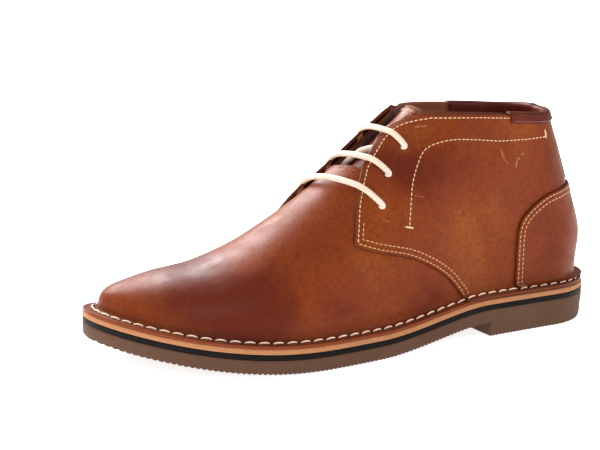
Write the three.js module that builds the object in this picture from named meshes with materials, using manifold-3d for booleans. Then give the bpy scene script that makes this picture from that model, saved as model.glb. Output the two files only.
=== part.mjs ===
// A left chukka boot: a stitched-down leather upper on a low rubber unit sole, modelled in millimetres.
// +Z is up, the toe points to -Y, the outer side of the foot is +X, and the floor is z = 0.
import * as THREE from "three";
import { mergeVertices } from "three/addons/utils/BufferGeometryUtils.js";
import Module from "manifold-3d";

const wasm = await Module();
wasm.setup();

// Sole sizes.
const SOLE_LENGTH = 304;
const BALL_WIDTH = 106;
const HEEL_END_RADIUS = 36;
const TOE_END_RADIUS = 25;
const HEEL_LENGTH = 84;
const HEEL_LIFT = 8.5;
const HEEL_TAPER = 1.4;
const TOE_SPRING = 14.5;
const OUTSOLE_THICK = 7.5;
const RAND_THICK = 2.7;
const MIDSOLE_THICK = 2.3;
const LAYER_GAP = 0.3;

// Flat spot of the forefoot on the floor, as shares of the sole length from the heel.
const TREAD_FLAT_START = 0.53;
const TREAD_FLAT_END = 0.62;

// Upper sizes.
const FLANGE_WIDTH = 8.2;
const FLANGE_THICK = 2;
const FLANGE_SET_IN = 0.6;
const WALL = 2;
const QUARTER_STEP = 1.1;
const OVERLAY_THICK = 1.3;
const OVERLAY_GAP = 0.3;
const BACK_HEIGHT = 127;
const INSTEP_RISE = 100;
const TOE_NOSE_RADIUS = 13;
const TOP_LEAN = 15;

// Pieces inside and on the upper.
const TONGUE_THICK = 2;
const TONGUE_HALF_WIDTH = 26;
const TONGUE_MIDDLE = 3;
const TONGUE_SEAM_GAP = 0.4;
const TONGUE_DROP = 5.6;
const LACE_CLEAR = 0.9;
const LACE_BOW = 0.04;
const LACE_RISE = 0.6;
const LACE_END = 0.12;
const LACE_KNOTS = [0.09, 0.28, 0.5, 0.72, 0.91];
const LACE_TURN = 0.7;
const LACE_DIP = 0.6;
const TONGUE_DROP_START = 0.565;
const TONGUE_DROP_END = 0.525;
const INSOLE_THICK = 3.5;
const INSOLE_GAP = 0.8;
const BINDING_LENGTH = 63;
const BINDING_OUTSIDE = 5;
const BINDING_INSIDE = 13;
const BINDING_THICK = 1.2;
const BACKSTAY_HALF_WIDTH = 9;
const BACKSTAY_MIDDLE = 0.75;
const FACING_SLANT = 0.1;
const FACING_X = 28;
const LACE_DIAMETER = 3;
const EYELET_DIAMETER = 4.8;
const THROAT_LOW = 0.5;
const LEAN_REACH = 0.45;
const LEAN_FADE = 1.5;

// The grid of the lofts and the fineness of lines, holes and the cord.
const STATIONS = 36;
const WALL_STEPS = 10;
const LOW_STEPS = 1.2;
const HEEL_REACH = 0.5;
const REACH_START = 0.2;
const REACH_END = 0.38;
const SOLE_STATIONS = 44;
const TOPLINE_STEPS = 36;
const EDGE_STEPS = 16;
const HOLE_SIDES = 12;
const LACE_FINENESS = 2;
const LACE_SIDES = 7;

// Blocks that cut reach this far past the boot.
const HIGH = 2 * BACK_HEIGHT;
const BEHIND = -0.2 * SOLE_LENGTH;
const CUT_MARGIN = 0.25 * BALL_WIDTH;

// Plan of the sole: half width and sideways swing of its centre, as shares of the ball width.
const SOLE_PLAN = [
  { along: 0.0, half: 0, swing: 0 },
  { along: 0.03, half: 0.226, swing: 0 },
  { along: 0.08, half: 0.32, swing: 0.005 },
  { along: 0.15, half: 0.34, swing: 0.015 },
  { along: 0.22, half: 0.346, swing: 0.026 },
  { along: 0.3, half: 0.355, swing: 0.038 },
  { along: 0.4, half: 0.376, swing: 0.062 },
  { along: 0.5, half: 0.412, swing: 0.071 },
  { along: 0.6, half: 0.452, swing: 0.073 },
  { along: 0.68, half: 0.483, swing: 0.057 },
  { along: 0.74, half: 0.49, swing: 0.035 },
  { along: 0.8, half: 0.478, swing: -0.005 },
  { along: 0.86, half: 0.43, swing: -0.045 },
  { along: 0.92, half: 0.337, swing: -0.088 },
  { along: 0.97, half: 0.208, swing: -0.125 },
  { along: 1.0, half: 0, swing: -0.144 },
];

// Sections of the upper. ridge is the height of the crown over the feather as a share of the instep
// rise, wall and crown are how far the side runs up and the top runs out before they turn, bulge is
// the side's swell over the feather and shift the crown's move to the inner side, both as shares of
// the ball width.
const SECTIONS = [
  { along: 0.0, ridge: 1.56, wall: 0.72, crown: 1.05, bulge: 0.0, shift: 0.0 },
  { along: 0.1, ridge: 1.55, wall: 0.72, crown: 1.05, bulge: 0.03, shift: 0.0 },
  { along: 0.2, ridge: 1.51, wall: 0.7, crown: 1, bulge: 0.025, shift: 0.01 },
  { along: 0.3, ridge: 1.36, wall: 0.66, crown: 0.93, bulge: 0.02, shift: 0.02 },
  { along: 0.4, ridge: 1.12, wall: 0.6, crown: 0.82, bulge: 0.02, shift: 0.03 },
  { along: 0.47, ridge: 0.985, wall: 0.55, crown: 0.75, bulge: 0.02, shift: 0.04 },
  { along: 0.54, ridge: 0.822, wall: 0.52, crown: 0.7, bulge: 0.02, shift: 0.045 },
  { along: 0.6, ridge: 0.69, wall: 0.5, crown: 0.67, bulge: 0.025, shift: 0.045 },
  { along: 0.67, ridge: 0.55, wall: 0.5, crown: 0.66, bulge: 0.03, shift: 0.04 },
  { along: 0.74, ridge: 0.422, wall: 0.52, crown: 0.66, bulge: 0.03, shift: 0.035 },
  { along: 0.81, ridge: 0.322, wall: 0.55, crown: 0.67, bulge: 0.025, shift: 0.025 },
  { along: 0.88, ridge: 0.258, wall: 0.58, crown: 0.68, bulge: 0.02, shift: 0.01 },
  { along: 0.94, ridge: 0.184, wall: 0.6, crown: 0.68, bulge: 0.01, shift: 0.0 },
  { along: 1.0, ridge: 0, wall: 0.6, crown: 0.66, bulge: 0.0, shift: 0.0 },
];

// The heel's back line: how far it lies in from the feather, as a share of the lean at the top.
const BACK_LINE = [
  { up: 0.0, lean: 0.0 },
  { up: 0.12, lean: -0.08 },
  { up: 0.3, lean: -0.2 },
  { up: 0.5, lean: 0.23 },
  { up: 0.75, lean: 0.83 },
  { up: 1.0, lean: 1.45 },
  { up: 1.5, lean: 2.2 },
];

// Outlines in side view: along is a share of the sole length, up a share of the back height.
const TOPLINE = [
  { along: -0.05, up: 1.0 },
  { along: 0.07, up: 0.995 },
  { along: 0.137, up: 0.98 },
  { along: 0.21, up: 0.988 },
  { along: 0.28, up: 0.998 },
  { along: 0.35, up: 1.004 },
  { along: 0.4, up: 1.003 },
  { along: 0.43, up: 0.99 },
  { along: 0.455, up: 0.967 },
  { along: 0.475, up: 0.96 },
  { along: 0.5, up: 1.0 },
];
const FACING_EDGE = [
  { along: 0.5, up: 1.05 },
  { along: 0.511, up: 0.9 },
  { along: 0.519, up: 0.81 },
  { along: 0.526, up: 0.765 },
  { along: 0.538, up: 0.709 },
  { along: 0.549, up: 0.64 },
  { along: 0.559, up: 0.56 },
  { along: 0.566, up: 0.484 },
];
// The throat's rim seen from above: how far the outer and the inner edge stand from the middle of
// the floor plan, as shares of the ball width.
const THROAT = [
  { along: 0.385, outer: 0.16, inner: -0.09 },
  { along: 0.4, outer: 0.185, inner: -0.113 },
  { along: 0.414, outer: 0.188, inner: -0.116 },
  { along: 0.425, outer: 0.176, inner: -0.104 },
  { along: 0.437, outer: 0.158, inner: -0.088 },
  { along: 0.454, outer: 0.14, inner: -0.07 },
  { along: 0.468, outer: 0.136, inner: -0.067 },
  { along: 0.482, outer: 0.153, inner: -0.086 },
  { along: 0.497, outer: 0.179, inner: -0.114 },
  { along: 0.513, outer: 0.203, inner: -0.141 },
  { along: 0.523, outer: 0.222, inner: -0.16 },
  { along: 0.529, outer: 0.215, inner: -0.152 },
  { along: 0.538, outer: 0.165, inner: -0.1 },
  { along: 0.545, outer: 0.1, inner: -0.034 },
  { along: 0.547, outer: 0.035, inner: 0.03 },
];
const QUARTER_SEAM = [
  { along: 0.566, up: 0.484 },
  { along: 0.545, up: 0.465 },
  { along: 0.518, up: 0.444 },
  { along: 0.486, up: 0.426 },
  { along: 0.452, up: 0.404 },
  { along: 0.411, up: 0.357 },
  { along: 0.374, up: 0.301 },
  { along: 0.348, up: 0.239 },
  { along: 0.33, up: 0.17 },
  { along: 0.322, up: 0.0 },
];
const COUNTER_EDGE = [
  { along: -0.05, up: 0.655 },
  { along: 0.03, up: 0.653 },
  { along: 0.074, up: 0.645 },
  { along: 0.115, up: 0.629 },
  { along: 0.145, up: 0.606 },
  { along: 0.182, up: 0.55 },
  { along: 0.2, up: 0.5 },
  { along: 0.207, up: 0.44 },
  { along: 0.209, up: 0.3 },
  { along: 0.21, up: 0.0 },
];
const EYELETS = [
  { along: 0.503, up: 0.639 },
  { along: 0.48, up: 0.766 },
  { along: 0.441, up: 0.875 },
];
const TONGUE_SIDE = [
  { along: 0.375, up: 0.7 },
  { along: 0.375, up: 0.96 },
  { along: 0.4, up: 1.01 },
  { along: 0.43, up: 1.03 },
  { along: 0.59, up: 1.03 },
  { along: 0.59, up: 0.6 },
];

// The cord's hidden start inside the outer quarter: phi steps from the top eyelet and tau steps from
// the eyelet it lies beside, as shares of LACE_END.
const LACE_START = [
  { beside: 2, phi: -1, tau: 1 },
  { beside: 2, phi: -0.7, tau: 0.9 },
  { beside: 0, phi: -0.8, tau: 0.5 },
];

const COLOURS = {
  rubber: { color: 0x76655a, roughness: 0.8 },
  rand: { color: 0x2a2022, roughness: 0.75 },
  midsole: { color: 0xc9854e, roughness: 0.85 },
  leather: { color: 0x8a4522, roughness: 0.45 },
  binding: { color: 0x5a2218, roughness: 0.4 },
  lining: { color: 0x9a5a30, roughness: 0.7 },
  lace: { color: 0xe8d2b8, roughness: 0.9 },
};

// A smooth value between the rows of a table: a cubic whose slopes come from the neighbouring rows.
function tableValue(rows, value, along) {
  const last = rows.length - 1;
  let i = 0;
  while (i < last - 1 && along > rows[i + 1].along) i++;
  const slope = (k) => {
    const before = rows[Math.max(k - 1, 0)];
    const after = rows[Math.min(k + 1, last)];
    return (value(after) - value(before)) / (after.along - before.along);
  };
  const span = rows[i + 1].along - rows[i].along;
  const t = Math.min(Math.max((along - rows[i].along) / span, 0), 1);
  const [t2, t3] = [t * t, t * t * t];
  return (
    (2 * t3 - 3 * t2 + 1) * value(rows[i]) +
    (t3 - 2 * t2 + t) * span * slope(i) +
    (3 * t2 - 2 * t3) * value(rows[i + 1]) +
    (t3 - t2) * span * slope(i + 1)
  );
}

const alongOf = (phi) => (1 - Math.cos(phi)) / 2;

function smoothStep(t) {
  const c = Math.min(Math.max(t, 0), 1);
  return c * c * (3 - 2 * c);
}

// Half width over the sine of the station's angle, so that both ends of the plan come out round.
function planFullness(row) {
  if (row.along === 0) return Math.sqrt((HEEL_END_RADIUS * SOLE_LENGTH) / 2);
  if (row.along === 1) return Math.sqrt((TOE_END_RADIUS * SOLE_LENGTH) / 2);
  return (row.half * BALL_WIDTH) / (2 * Math.sqrt(row.along * (1 - row.along)));
}

// A point of the sole's edge: s runs from heel to toe, x is positive on the outer side.
function rawEdge(phi, side) {
  const along = alongOf(phi);
  const swing = tableValue(SOLE_PLAN, (row) => row.swing, along) * BALL_WIDTH;
  const half = tableValue(SOLE_PLAN, planFullness, along) * Math.sin(phi);
  return { s: along * SOLE_LENGTH, x: swing + side * half };
}

// The same point moved square to the edge, into the sole by inset.
function edgePoint(phi, side, inset) {
  const step = 1e-4;
  const here = rawEdge(phi, side);
  const before = rawEdge(phi - step, side);
  const after = rawEdge(phi + step, side);
  const [ds, dx] = [after.s - before.s, after.x - before.x];
  const length = Math.hypot(ds, dx);
  return {
    s: here.s + (inset * side * dx) / length,
    x: here.x - (inset * side * ds) / length,
  };
}

// Height of the sole sheet's underside: raised over the heel, flat at the ball, sprung at the toe.
function sheetBottom(s) {
  const flatStart = TREAD_FLAT_START * SOLE_LENGTH;
  const flatEnd = TREAD_FLAT_END * SOLE_LENGTH;
  const lift = HEEL_LIFT * smoothStep((flatStart - s) / (flatStart - HEEL_LENGTH));
  const spring = Math.max(0, (s - flatEnd) / (SOLE_LENGTH - flatEnd));
  return lift + TOE_SPRING * spring * spring;
}

const RAND_BASE = OUTSOLE_THICK + LAYER_GAP;
const MIDSOLE_BASE = RAND_BASE + RAND_THICK + LAYER_GAP;
const UPPER_BASE = MIDSOLE_BASE + MIDSOLE_THICK + LAYER_GAP;
const QUARTER_FACE = WALL + QUARTER_STEP;
const OVERLAY_FACE = QUARTER_FACE + OVERLAY_GAP;

const upperSeat = (s) => sheetBottom(s) + UPPER_BASE;

const WALL_HEIGHT = BACK_HEIGHT - UPPER_BASE - HEEL_LIFT;

function leanAt(height) {
  const rows = BACK_LINE.map((row) => ({ along: row.up, lean: row.lean }));
  return TOP_LEAN * tableValue(rows, (row) => row.lean, height / WALL_HEIGHT);
}

function crownFullness(row) {
  if (row.along === 1) return Math.sqrt(2 * TOE_NOSE_RADIUS * SOLE_LENGTH);
  return (row.ridge * INSTEP_RISE) / Math.sqrt(1 - row.along);
}

function crownRise(along) {
  return tableValue(SECTIONS, crownFullness, along) * Math.sqrt(Math.max(0, 1 - along));
}

// A point of the upper's surface. phi runs from the heel to the toe, tau from 1 at the outer feather
// over 0 at the crown to -1 at the inner feather, and grow moves the surface outwards from the lining.
function skin(phi, tau, grow) {
  const side = tau < 0 ? -1 : 1;
  const along = alongOf(phi);
  const inset = FLANGE_WIDTH + WALL - grow;
  const foot = edgePoint(phi, side, inset);
  const twin = edgePoint(phi, -side, inset);
  const column = (name) => tableValue(SECTIONS, (row) => row[name], along);
  const slope = (crownRise(along - 0.01) - crownRise(along)) / (0.01 * SOLE_LENGTH);
  const steepest = 1;
  const rise = crownRise(along) + grow * Math.hypot(1, Math.min(Math.max(slope, 0), steepest));
  const crownX = (foot.x + twin.x) / 2 - column("shift") * BALL_WIDTH * Math.sin(phi);
  const crownS = (foot.s + twin.s) / 2;
  const swell = side * column("bulge") * BALL_WIDTH * Math.sin(phi);
  const t = 1 - Math.abs(tau);
  const b = [(1 - t) ** 3, 3 * t * (1 - t) ** 2, 3 * t * t * (1 - t), t ** 3];
  const shoulderX = crownX + (foot.x - crownX) * column("crown");
  const s = (b[0] + b[1]) * foot.s + (b[2] + b[3]) * crownS;
  const height = (b[1] * column("wall") + b[2] + b[3]) * rise;
  const fade = Math.max(0, 1 - along / LEAN_REACH) ** LEAN_FADE;
  return {
    x: b[0] * foot.x + b[1] * (foot.x + swell) + b[2] * shoulderX + b[3] * crownX,
    s: s + leanAt(height) * fade,
    z: upperSeat(s) + height,
  };
}

// Model space: the toe points to -Y and the sole's middle is on x = 0.
function planMiddle() {
  const across = Array.from({ length: SOLE_STATIONS + 1 }, (_, i) => (Math.PI * i) / SOLE_STATIONS);
  const widest = Math.max(...across.map((phi) => rawEdge(phi, 1).x));
  const narrowest = Math.min(...across.map((phi) => rawEdge(phi, -1).x));
  return (widest + narrowest) / 2;
}
const MIDDLE_X = planMiddle();
const place = (p) => new THREE.Vector3(p.x - MIDDLE_X, SOLE_LENGTH / 2 - p.s, p.z);

// A closed geometry as a solid that can be cut and joined.
function solidOf(geometry) {
  const plain = geometry.clone();
  plain.deleteAttribute("normal");
  plain.deleteAttribute("uv");
  const merged = mergeVertices(plain, 1e-4);
  const corners = merged.index.array;
  const kept = [];
  for (let i = 0; i < corners.length; i += 3) {
    const [a, b, c] = corners.slice(i, i + 3);
    if (a !== b && b !== c && a !== c) kept.push(a, b, c);
  }
  return new wasm.Manifold(
    new wasm.Mesh({
      numProp: 3,
      vertProperties: new Float32Array(merged.attributes.position.array),
      triVerts: new Uint32Array(kept),
    }),
  );
}

function geometryOf(solid) {
  const mesh = solid.getMesh();
  const positions = new Float32Array(mesh.numVert * 3);
  for (let i = 0; i < mesh.numVert; i++) {
    positions.set(mesh.vertProperties.subarray(i * mesh.numProp, i * mesh.numProp + 3), i * 3);
  }
  const geometry = new THREE.BufferGeometry();
  geometry.setAttribute("position", new THREE.BufferAttribute(positions, 3));
  geometry.setIndex(new THREE.BufferAttribute(new Uint32Array(mesh.triVerts), 1));
  geometry.computeVertexNormals();
  return geometry;
}

// Rows of points, each row a closed loop, joined into one skin.
function loftGeometry(loops) {
  const count = loops[0].length;
  const positions = loops.flat().flatMap((p) => [p.x, p.y, p.z]);
  const index = [];
  for (let i = 0; i < loops.length - 1; i++) {
    for (let k = 0; k < count; k++) {
      const [a, b] = [i * count + k, i * count + ((k + 1) % count)];
      index.push(a, b, b + count, a, b + count, a + count);
    }
  }
  const geometry = new THREE.BufferGeometry();
  geometry.setAttribute("position", new THREE.Float32BufferAttribute(positions, 3));
  geometry.setIndex(index);
  return geometry;
}

// How far over the crown the grid is drawn: behind the throat it stops a little over the topline.
function reachOf(along) {
  const forward = smoothStep((along - REACH_START) / (REACH_END - REACH_START));
  return HEEL_REACH + (1 - HEEL_REACH) * forward;
}

// The upper's form filled solid: grow is a size or a function of the station, drop lowers its floor.
function form(grow, drop = 0) {
  const growAt = typeof grow === "function" ? grow : () => grow;
  const loops = [];
  for (let i = 0; i <= STATIONS; i++) {
    const phi = (Math.PI * i) / STATIONS;
    const loop = [];
    for (let k = WALL_STEPS; k >= -WALL_STEPS; k--) {
      const t = reachOf(alongOf(phi)) * (1 - Math.abs(k) / WALL_STEPS) ** LOW_STEPS;
      const point = skin(phi, (Math.sign(k) || 1) * (1 - t), growAt(alongOf(phi)));
      if (Math.abs(k) === WALL_STEPS) point.z -= drop;
      loop.push(place(point));
    }
    loops.push(loop);
  }
  return solidOf(loftGeometry(loops));
}

// A sheet of the sole's outline between two heights, each a function of s.
function layer(insetBelow, insetAbove, below, above) {
  const loops = [];
  for (let i = 0; i <= SOLE_STATIONS; i++) {
    const phi = (Math.PI * i) / SOLE_STATIONS;
    const corner = (side, inset, height) => {
      const edge = edgePoint(phi, side, inset);
      return place({ ...edge, z: height(edge.s) });
    };
    loops.push([
      corner(1, insetBelow, below),
      corner(1, insetAbove, above),
      corner(-1, insetAbove, above),
      corner(-1, insetBelow, below),
    ]);
  }
  return solidOf(loftGeometry(loops));
}

// A block through the boot whose outline is drawn in side view, in s and z. With a slant the outline
// moves towards the toe as it goes to the inner side.
function sidePrism(outline, slant = 0) {
  const shape = new THREE.Shape(outline.map(([s, z]) => new THREE.Vector2(s, z)));
  const geometry = new THREE.ExtrudeGeometry(shape, { depth: 2 * BALL_WIDTH, bevelEnabled: false });
  const turn = new THREE.Matrix4().makeBasis(
    new THREE.Vector3(0, -1, 0),
    new THREE.Vector3(0, 0, 1),
    new THREE.Vector3(-1, -slant, 0),
  );
  turn.setPosition(BALL_WIDTH, SOLE_LENGTH / 2 + slant * (BALL_WIDTH - FACING_X), 0);
  return solidOf(geometry.applyMatrix4(turn));
}

// A block from low upwards whose outline is drawn in plan, in s and x.
function planPrism(outline, low) {
  const points = outline.map(([s, x]) => {
    return new THREE.Vector2(x, SOLE_LENGTH / 2 - s - FACING_SLANT * (FACING_X - x));
  });
  const geometry = new THREE.ExtrudeGeometry(new THREE.Shape(points), { depth: HIGH, bevelEnabled: false });
  return solidOf(geometry.translate(0, 0, low));
}

// A smooth line in side view through the rows of a table.
function sideCurve(rows, steps) {
  const knots = rows.map((row) => new THREE.Vector2(row.along * SOLE_LENGTH, row.up * BACK_HEIGHT));
  return new THREE.SplineCurve(knots).getPoints(steps).map((p) => [p.x, p.y]);
}

// All that lies over the topline, raised by lift.
function aboveTopline(lift = 0) {
  const line = sideCurve(TOPLINE, TOPLINE_STEPS).map(([s, z]) => [s, z + lift]);
  return sidePrism([...line, [line.at(-1)[0], HIGH], [line[0][0], HIGH]]);
}

// All that lies under the topline lowered by drop.
function underTopline(drop) {
  const line = sideCurve(TOPLINE, TOPLINE_STEPS).map(([s, z]) => [s, z - drop]);
  return sidePrism([[line[0][0], -HIGH], [line.at(-1)[0], -HIGH], ...line.reverse()]);
}

function throatPrism() {
  const edge = (name) => THROAT.map((row) => [row.along * SOLE_LENGTH, row[name] * BALL_WIDTH]);
  return planPrism([...edge("outer"), ...edge("inner").reverse()], THROAT_LOW * BACK_HEIGHT);
}

function behind(s) {
  return sidePrism([
    [BEHIND, -HIGH],
    [s, -HIGH],
    [s, HIGH],
    [BEHIND, HIGH],
  ]);
}

function quarterPrism() {
  const facing = sideCurve(FACING_EDGE, EDGE_STEPS).reverse();
  const seam = sideCurve(QUARTER_SEAM, EDGE_STEPS).reverse();
  const top = [facing.at(-1)[0], HIGH];
  return sidePrism([[BEHIND, HIGH], [BEHIND, 0], ...seam, ...facing, top], FACING_SLANT);
}

function counterPrism(grow = 0) {
  const edge = sideCurve(COUNTER_EDGE, TOPLINE_STEPS).map(([s, z]) => [s + grow, z + grow]);
  return sidePrism([...edge, [edge.at(-1)[0], -HIGH], [edge[0][0], -HIGH]].reverse());
}

const soleBlock = (top) => layer(-CUT_MARGIN, -CUT_MARGIN, () => -HIGH, top);

// The surface point and outward normal at a side view position.
function onSkin(target, side, grow) {
  let [phi, tau] = [Math.acos(1 - 2 * Math.min(Math.max(target.s / SOLE_LENGTH, 0.05), 0.95)), 0.5];
  const [step, rounds] = [1e-4, 25];
  for (let n = 0; n < rounds; n++) {
    const here = skin(phi, side * tau, grow);
    const alongPhi = skin(phi + step, side * tau, grow);
    const alongTau = skin(phi, side * (tau + step), grow);
    const [a, b] = [(alongPhi.s - here.s) / step, (alongTau.s - here.s) / step];
    const [c, d] = [(alongPhi.z - here.z) / step, (alongTau.z - here.z) / step];
    const [es, ez] = [target.s - here.s, target.z - here.z];
    const det = a * d - b * c;
    phi += (d * es - b * ez) / det;
    tau = Math.min(Math.max(tau + (a * ez - c * es) / det, 0.02), 1);
  }
  return { phi, tau: side * tau };
}

// Rubber sole: a sheet that follows the foot, with the heel block moulded on.
function outsole() {
  const top = (s) => sheetBottom(s) + OUTSOLE_THICK;
  const sheet = layer(0, 0, sheetBottom, top);
  const block = layer(HEEL_TAPER, 0, () => 0, (s) => sheetBottom(s) + OUTSOLE_THICK / 2);
  return sheet.add(block.intersect(behind(HEEL_LENGTH)));
}

function band(inset, base, thick) {
  const below = (s) => sheetBottom(s) + base;
  return layer(inset, inset, below, (s) => below(s) + thick);
}

// One leather shell: vamp, thicker quarters and the flange that turns out over the midsole.
function upper() {
  const flange = band(FLANGE_SET_IN, UPPER_BASE, FLANGE_THICK);
  const quarters = form(QUARTER_FACE).intersect(quarterPrism());
  const cavity = form(0, 2 * FLANGE_THICK);
  let shell = form(WALL).add(flange).add(quarters).subtract(cavity);
  shell = shell.subtract(aboveTopline()).subtract(throatPrism());
  for (const row of EYELETS) {
    for (const side of [1, -1]) shell = shell.subtract(eyeletHole(row, side));
  }
  return shell;
}

// Where an eyelet sits on the form. The inner row follows the slant of the facings.
function eyeletSeat(row, side) {
  const outer = { s: row.along * SOLE_LENGTH, z: row.up * BACK_HEIGHT };
  if (side > 0) return onSkin(outer, side, QUARTER_FACE);
  const twin = onSkin(outer, side, QUARTER_FACE);
  const across = skin(twin.phi, twin.tau, QUARTER_FACE).x - MIDDLE_X;
  return onSkin({ s: outer.s + FACING_SLANT * (FACING_X - across), z: outer.z }, side, QUARTER_FACE);
}

function eyeletHole(row, side) {
  const { phi, tau } = eyeletSeat(row, side);
  const outside = place(skin(phi, tau, 3 * QUARTER_FACE));
  const inside = place(skin(phi, tau, -2 * QUARTER_FACE));
  const axis = outside.clone().sub(inside);
  const radius = EYELET_DIAMETER / 2;
  const hole = new THREE.CylinderGeometry(radius, radius, axis.length(), HOLE_SIDES);
  const turn = new THREE.Quaternion().setFromUnitVectors(new THREE.Vector3(0, 1, 0), axis.normalize());
  hole.applyQuaternion(turn);
  const middle = outside.add(inside).divideScalar(2);
  return solidOf(hole.translate(middle.x, middle.y, middle.z));
}

// The shell between two growths of the form.
const shellOf = (inner, outer) => form(outer).subtract(form(inner, 2 * OVERLAY_THICK));

const overFlange = (s) => upperSeat(s) + FLANGE_THICK + OVERLAY_GAP;

function heelCounter() {
  const cover = shellOf(OVERLAY_FACE, OVERLAY_FACE + OVERLAY_THICK);
  return cover.intersect(counterPrism()).subtract(soleBlock(overFlange));
}

function backstay() {
  const cover = shellOf(OVERLAY_FACE, OVERLAY_FACE + OVERLAY_THICK);
  const strip = new THREE.BoxGeometry(2 * BACKSTAY_HALF_WIDTH, HEEL_LENGTH, BACK_HEIGHT);
  strip.translate(0, SOLE_LENGTH / 2, BACKSTAY_MIDDLE * BACK_HEIGHT);
  const belowBinding = underTopline(BINDING_OUTSIDE + OVERLAY_GAP);
  return cover.intersect(solidOf(strip)).intersect(belowBinding).subtract(counterPrism(OVERLAY_GAP));
}

// A strip folded over the collar's rim, with a slot for the wall.
function collarBinding() {
  const lined = -OVERLAY_GAP;
  const cap = shellOf(lined - BINDING_THICK, OVERLAY_FACE + BINDING_THICK).intersect(behind(BINDING_LENGTH));
  const slot = shellOf(lined, OVERLAY_FACE).subtract(aboveTopline(OVERLAY_GAP));
  const outer = shellOf(WALL / 2, 2 * OVERLAY_FACE).intersect(underTopline(BINDING_OUTSIDE));
  const inner = form(WALL, BACK_HEIGHT).intersect(underTopline(BINDING_INSIDE));
  const rim = aboveTopline(OVERLAY_GAP + BINDING_THICK);
  return cap.subtract(rim).subtract(slot).subtract(outer).subtract(inner);
}

// The tongue hugs the vamp at its seam and drops under the facings to leave room for the lace.
function tongue() {
  const depth = (along) => {
    const drop = smoothStep((TONGUE_DROP_START - along) / (TONGUE_DROP_START - TONGUE_DROP_END));
    return -TONGUE_SEAM_GAP - (TONGUE_DROP - TONGUE_SEAM_GAP) * drop;
  };
  const sheet = form(depth).subtract(form((along) => depth(along) - TONGUE_THICK, 2 * TONGUE_THICK));
  const side = sidePrism(TONGUE_SIDE.map((row) => [row.along * SOLE_LENGTH, row.up * BACK_HEIGHT]));
  const strip = new THREE.BoxGeometry(2 * TONGUE_HALF_WIDTH, SOLE_LENGTH, HIGH);
  return sheet.intersect(side).intersect(solidOf(strip.translate(TONGUE_MIDDLE, 0, 0)));
}

function insole() {
  return band(FLANGE_WIDTH + WALL + INSOLE_GAP, UPPER_BASE, INSOLE_THICK);
}

// A round cord through points, with a cap at each end.
function sweep(points, radius, sides) {
  const loops = [];
  let across = new THREE.Vector3(0, 0, 1);
  points.forEach((point, i) => {
    const before = points[Math.max(i - 1, 0)];
    const after = points[Math.min(i + 1, points.length - 1)];
    const run = after.clone().sub(before).normalize();
    across = across.clone().addScaledVector(run, -across.dot(run)).normalize();
    const other = run.clone().cross(across);
    loops.push(
      Array.from({ length: sides }, (_, k) => {
        const turn = (2 * Math.PI * k) / sides;
        const spoke = across.clone().multiplyScalar(radius * Math.cos(turn));
        return spoke.addScaledVector(other, radius * Math.sin(turn)).add(point);
      }),
    );
  });
  const cap = (point) => Array.from({ length: sides }, () => point.clone());
  return solidOf(loftGeometry([cap(points[0]), ...loops, cap(points.at(-1))]));
}

const OVER = QUARTER_FACE + LACE_DIAMETER / 2 + LACE_CLEAR;
const UNDER = -LACE_DIAMETER / 2 - LACE_CLEAR;

// Stations of the cord from one eyelet to another, outside or inside the facings.
function laceRun(from, to, outside) {
  const level = outside ? OVER : UNDER;
  const bow = outside ? LACE_BOW : 0;
  const knots = [];
  for (const u of LACE_KNOTS) {
    const swell = Math.sin(Math.PI * u);
    knots.push({
      phi: from.phi + (to.phi - from.phi) * u + bow * swell,
      tau: from.tau + (to.tau - from.tau) * u,
      grow: level + (outside ? swell * LACE_RISE : 0),
    });
  }
  return knots;
}

// Through an eyelet, along the hole's own line.
function laceHole(seat, outwards) {
  const levels = [OVER - LACE_TURN, QUARTER_FACE - LACE_DIP, WALL / 4, UNDER + LACE_TURN];
  const knots = levels.map((grow) => ({ ...seat, grow }));
  return outwards ? knots.reverse() : knots;
}

function lace() {
  const seats = EYELETS.map((row) => [eyeletSeat(row, 1), eyeletSeat(row, -1)]);
  const top = seats.at(-1);
  const knots = LACE_START.map((row) => {
    const phi = top[0].phi + row.phi * LACE_END;
    return { phi, tau: seats[row.beside][0].tau + row.tau * LACE_END, grow: UNDER };
  });
  seats.forEach(([near, far], row) => {
    knots.push(...laceHole(near, true), ...laceRun(near, far, true), ...laceHole(far, false));
    if (row < seats.length - 1) knots.push(...laceRun(far, seats[row + 1][0], false));
  });
  knots.push({ phi: top[1].phi - LACE_END, tau: top[1].tau - LACE_END, grow: UNDER });
  const path = knots.map((knot) => place(skin(knot.phi, knot.tau, knot.grow)));
  const curve = new THREE.CatmullRomCurve3(path, false, "centripetal");
  const steps = path.length * LACE_FINENESS;
  const points = Array.from({ length: steps + 1 }, (_, i) => curve.getPoint(i / steps));
  return sweep(points, LACE_DIAMETER / 2, LACE_SIDES);
}

function pieceOf(name, solid, look) {
  const material = new THREE.MeshStandardMaterial({ ...look, metalness: 0 });
  const mesh = new THREE.Mesh(geometryOf(solid), material);
  mesh.name = name;
  return mesh;
}

const boot = new THREE.Group();
boot.add(pieceOf("outsole", outsole(), COLOURS.rubber));
boot.add(pieceOf("rand", band(0, RAND_BASE, RAND_THICK), COLOURS.rand));
boot.add(pieceOf("midsole", band(0, MIDSOLE_BASE, MIDSOLE_THICK), COLOURS.midsole));
boot.add(pieceOf("upper", upper(), COLOURS.leather));
boot.add(pieceOf("heel_counter", heelCounter(), COLOURS.leather));
boot.add(pieceOf("backstay", backstay(), COLOURS.leather));
boot.add(pieceOf("collar_binding", collarBinding(), COLOURS.binding));
boot.add(pieceOf("tongue", tongue(), COLOURS.leather));
boot.add(pieceOf("insole", insole(), COLOURS.lining));
boot.add(pieceOf("lace", lace(), COLOURS.lace));

export default boot;
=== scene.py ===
"""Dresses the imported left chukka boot: leather panels, seams, lace, sole layers and a pale studio."""

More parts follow.
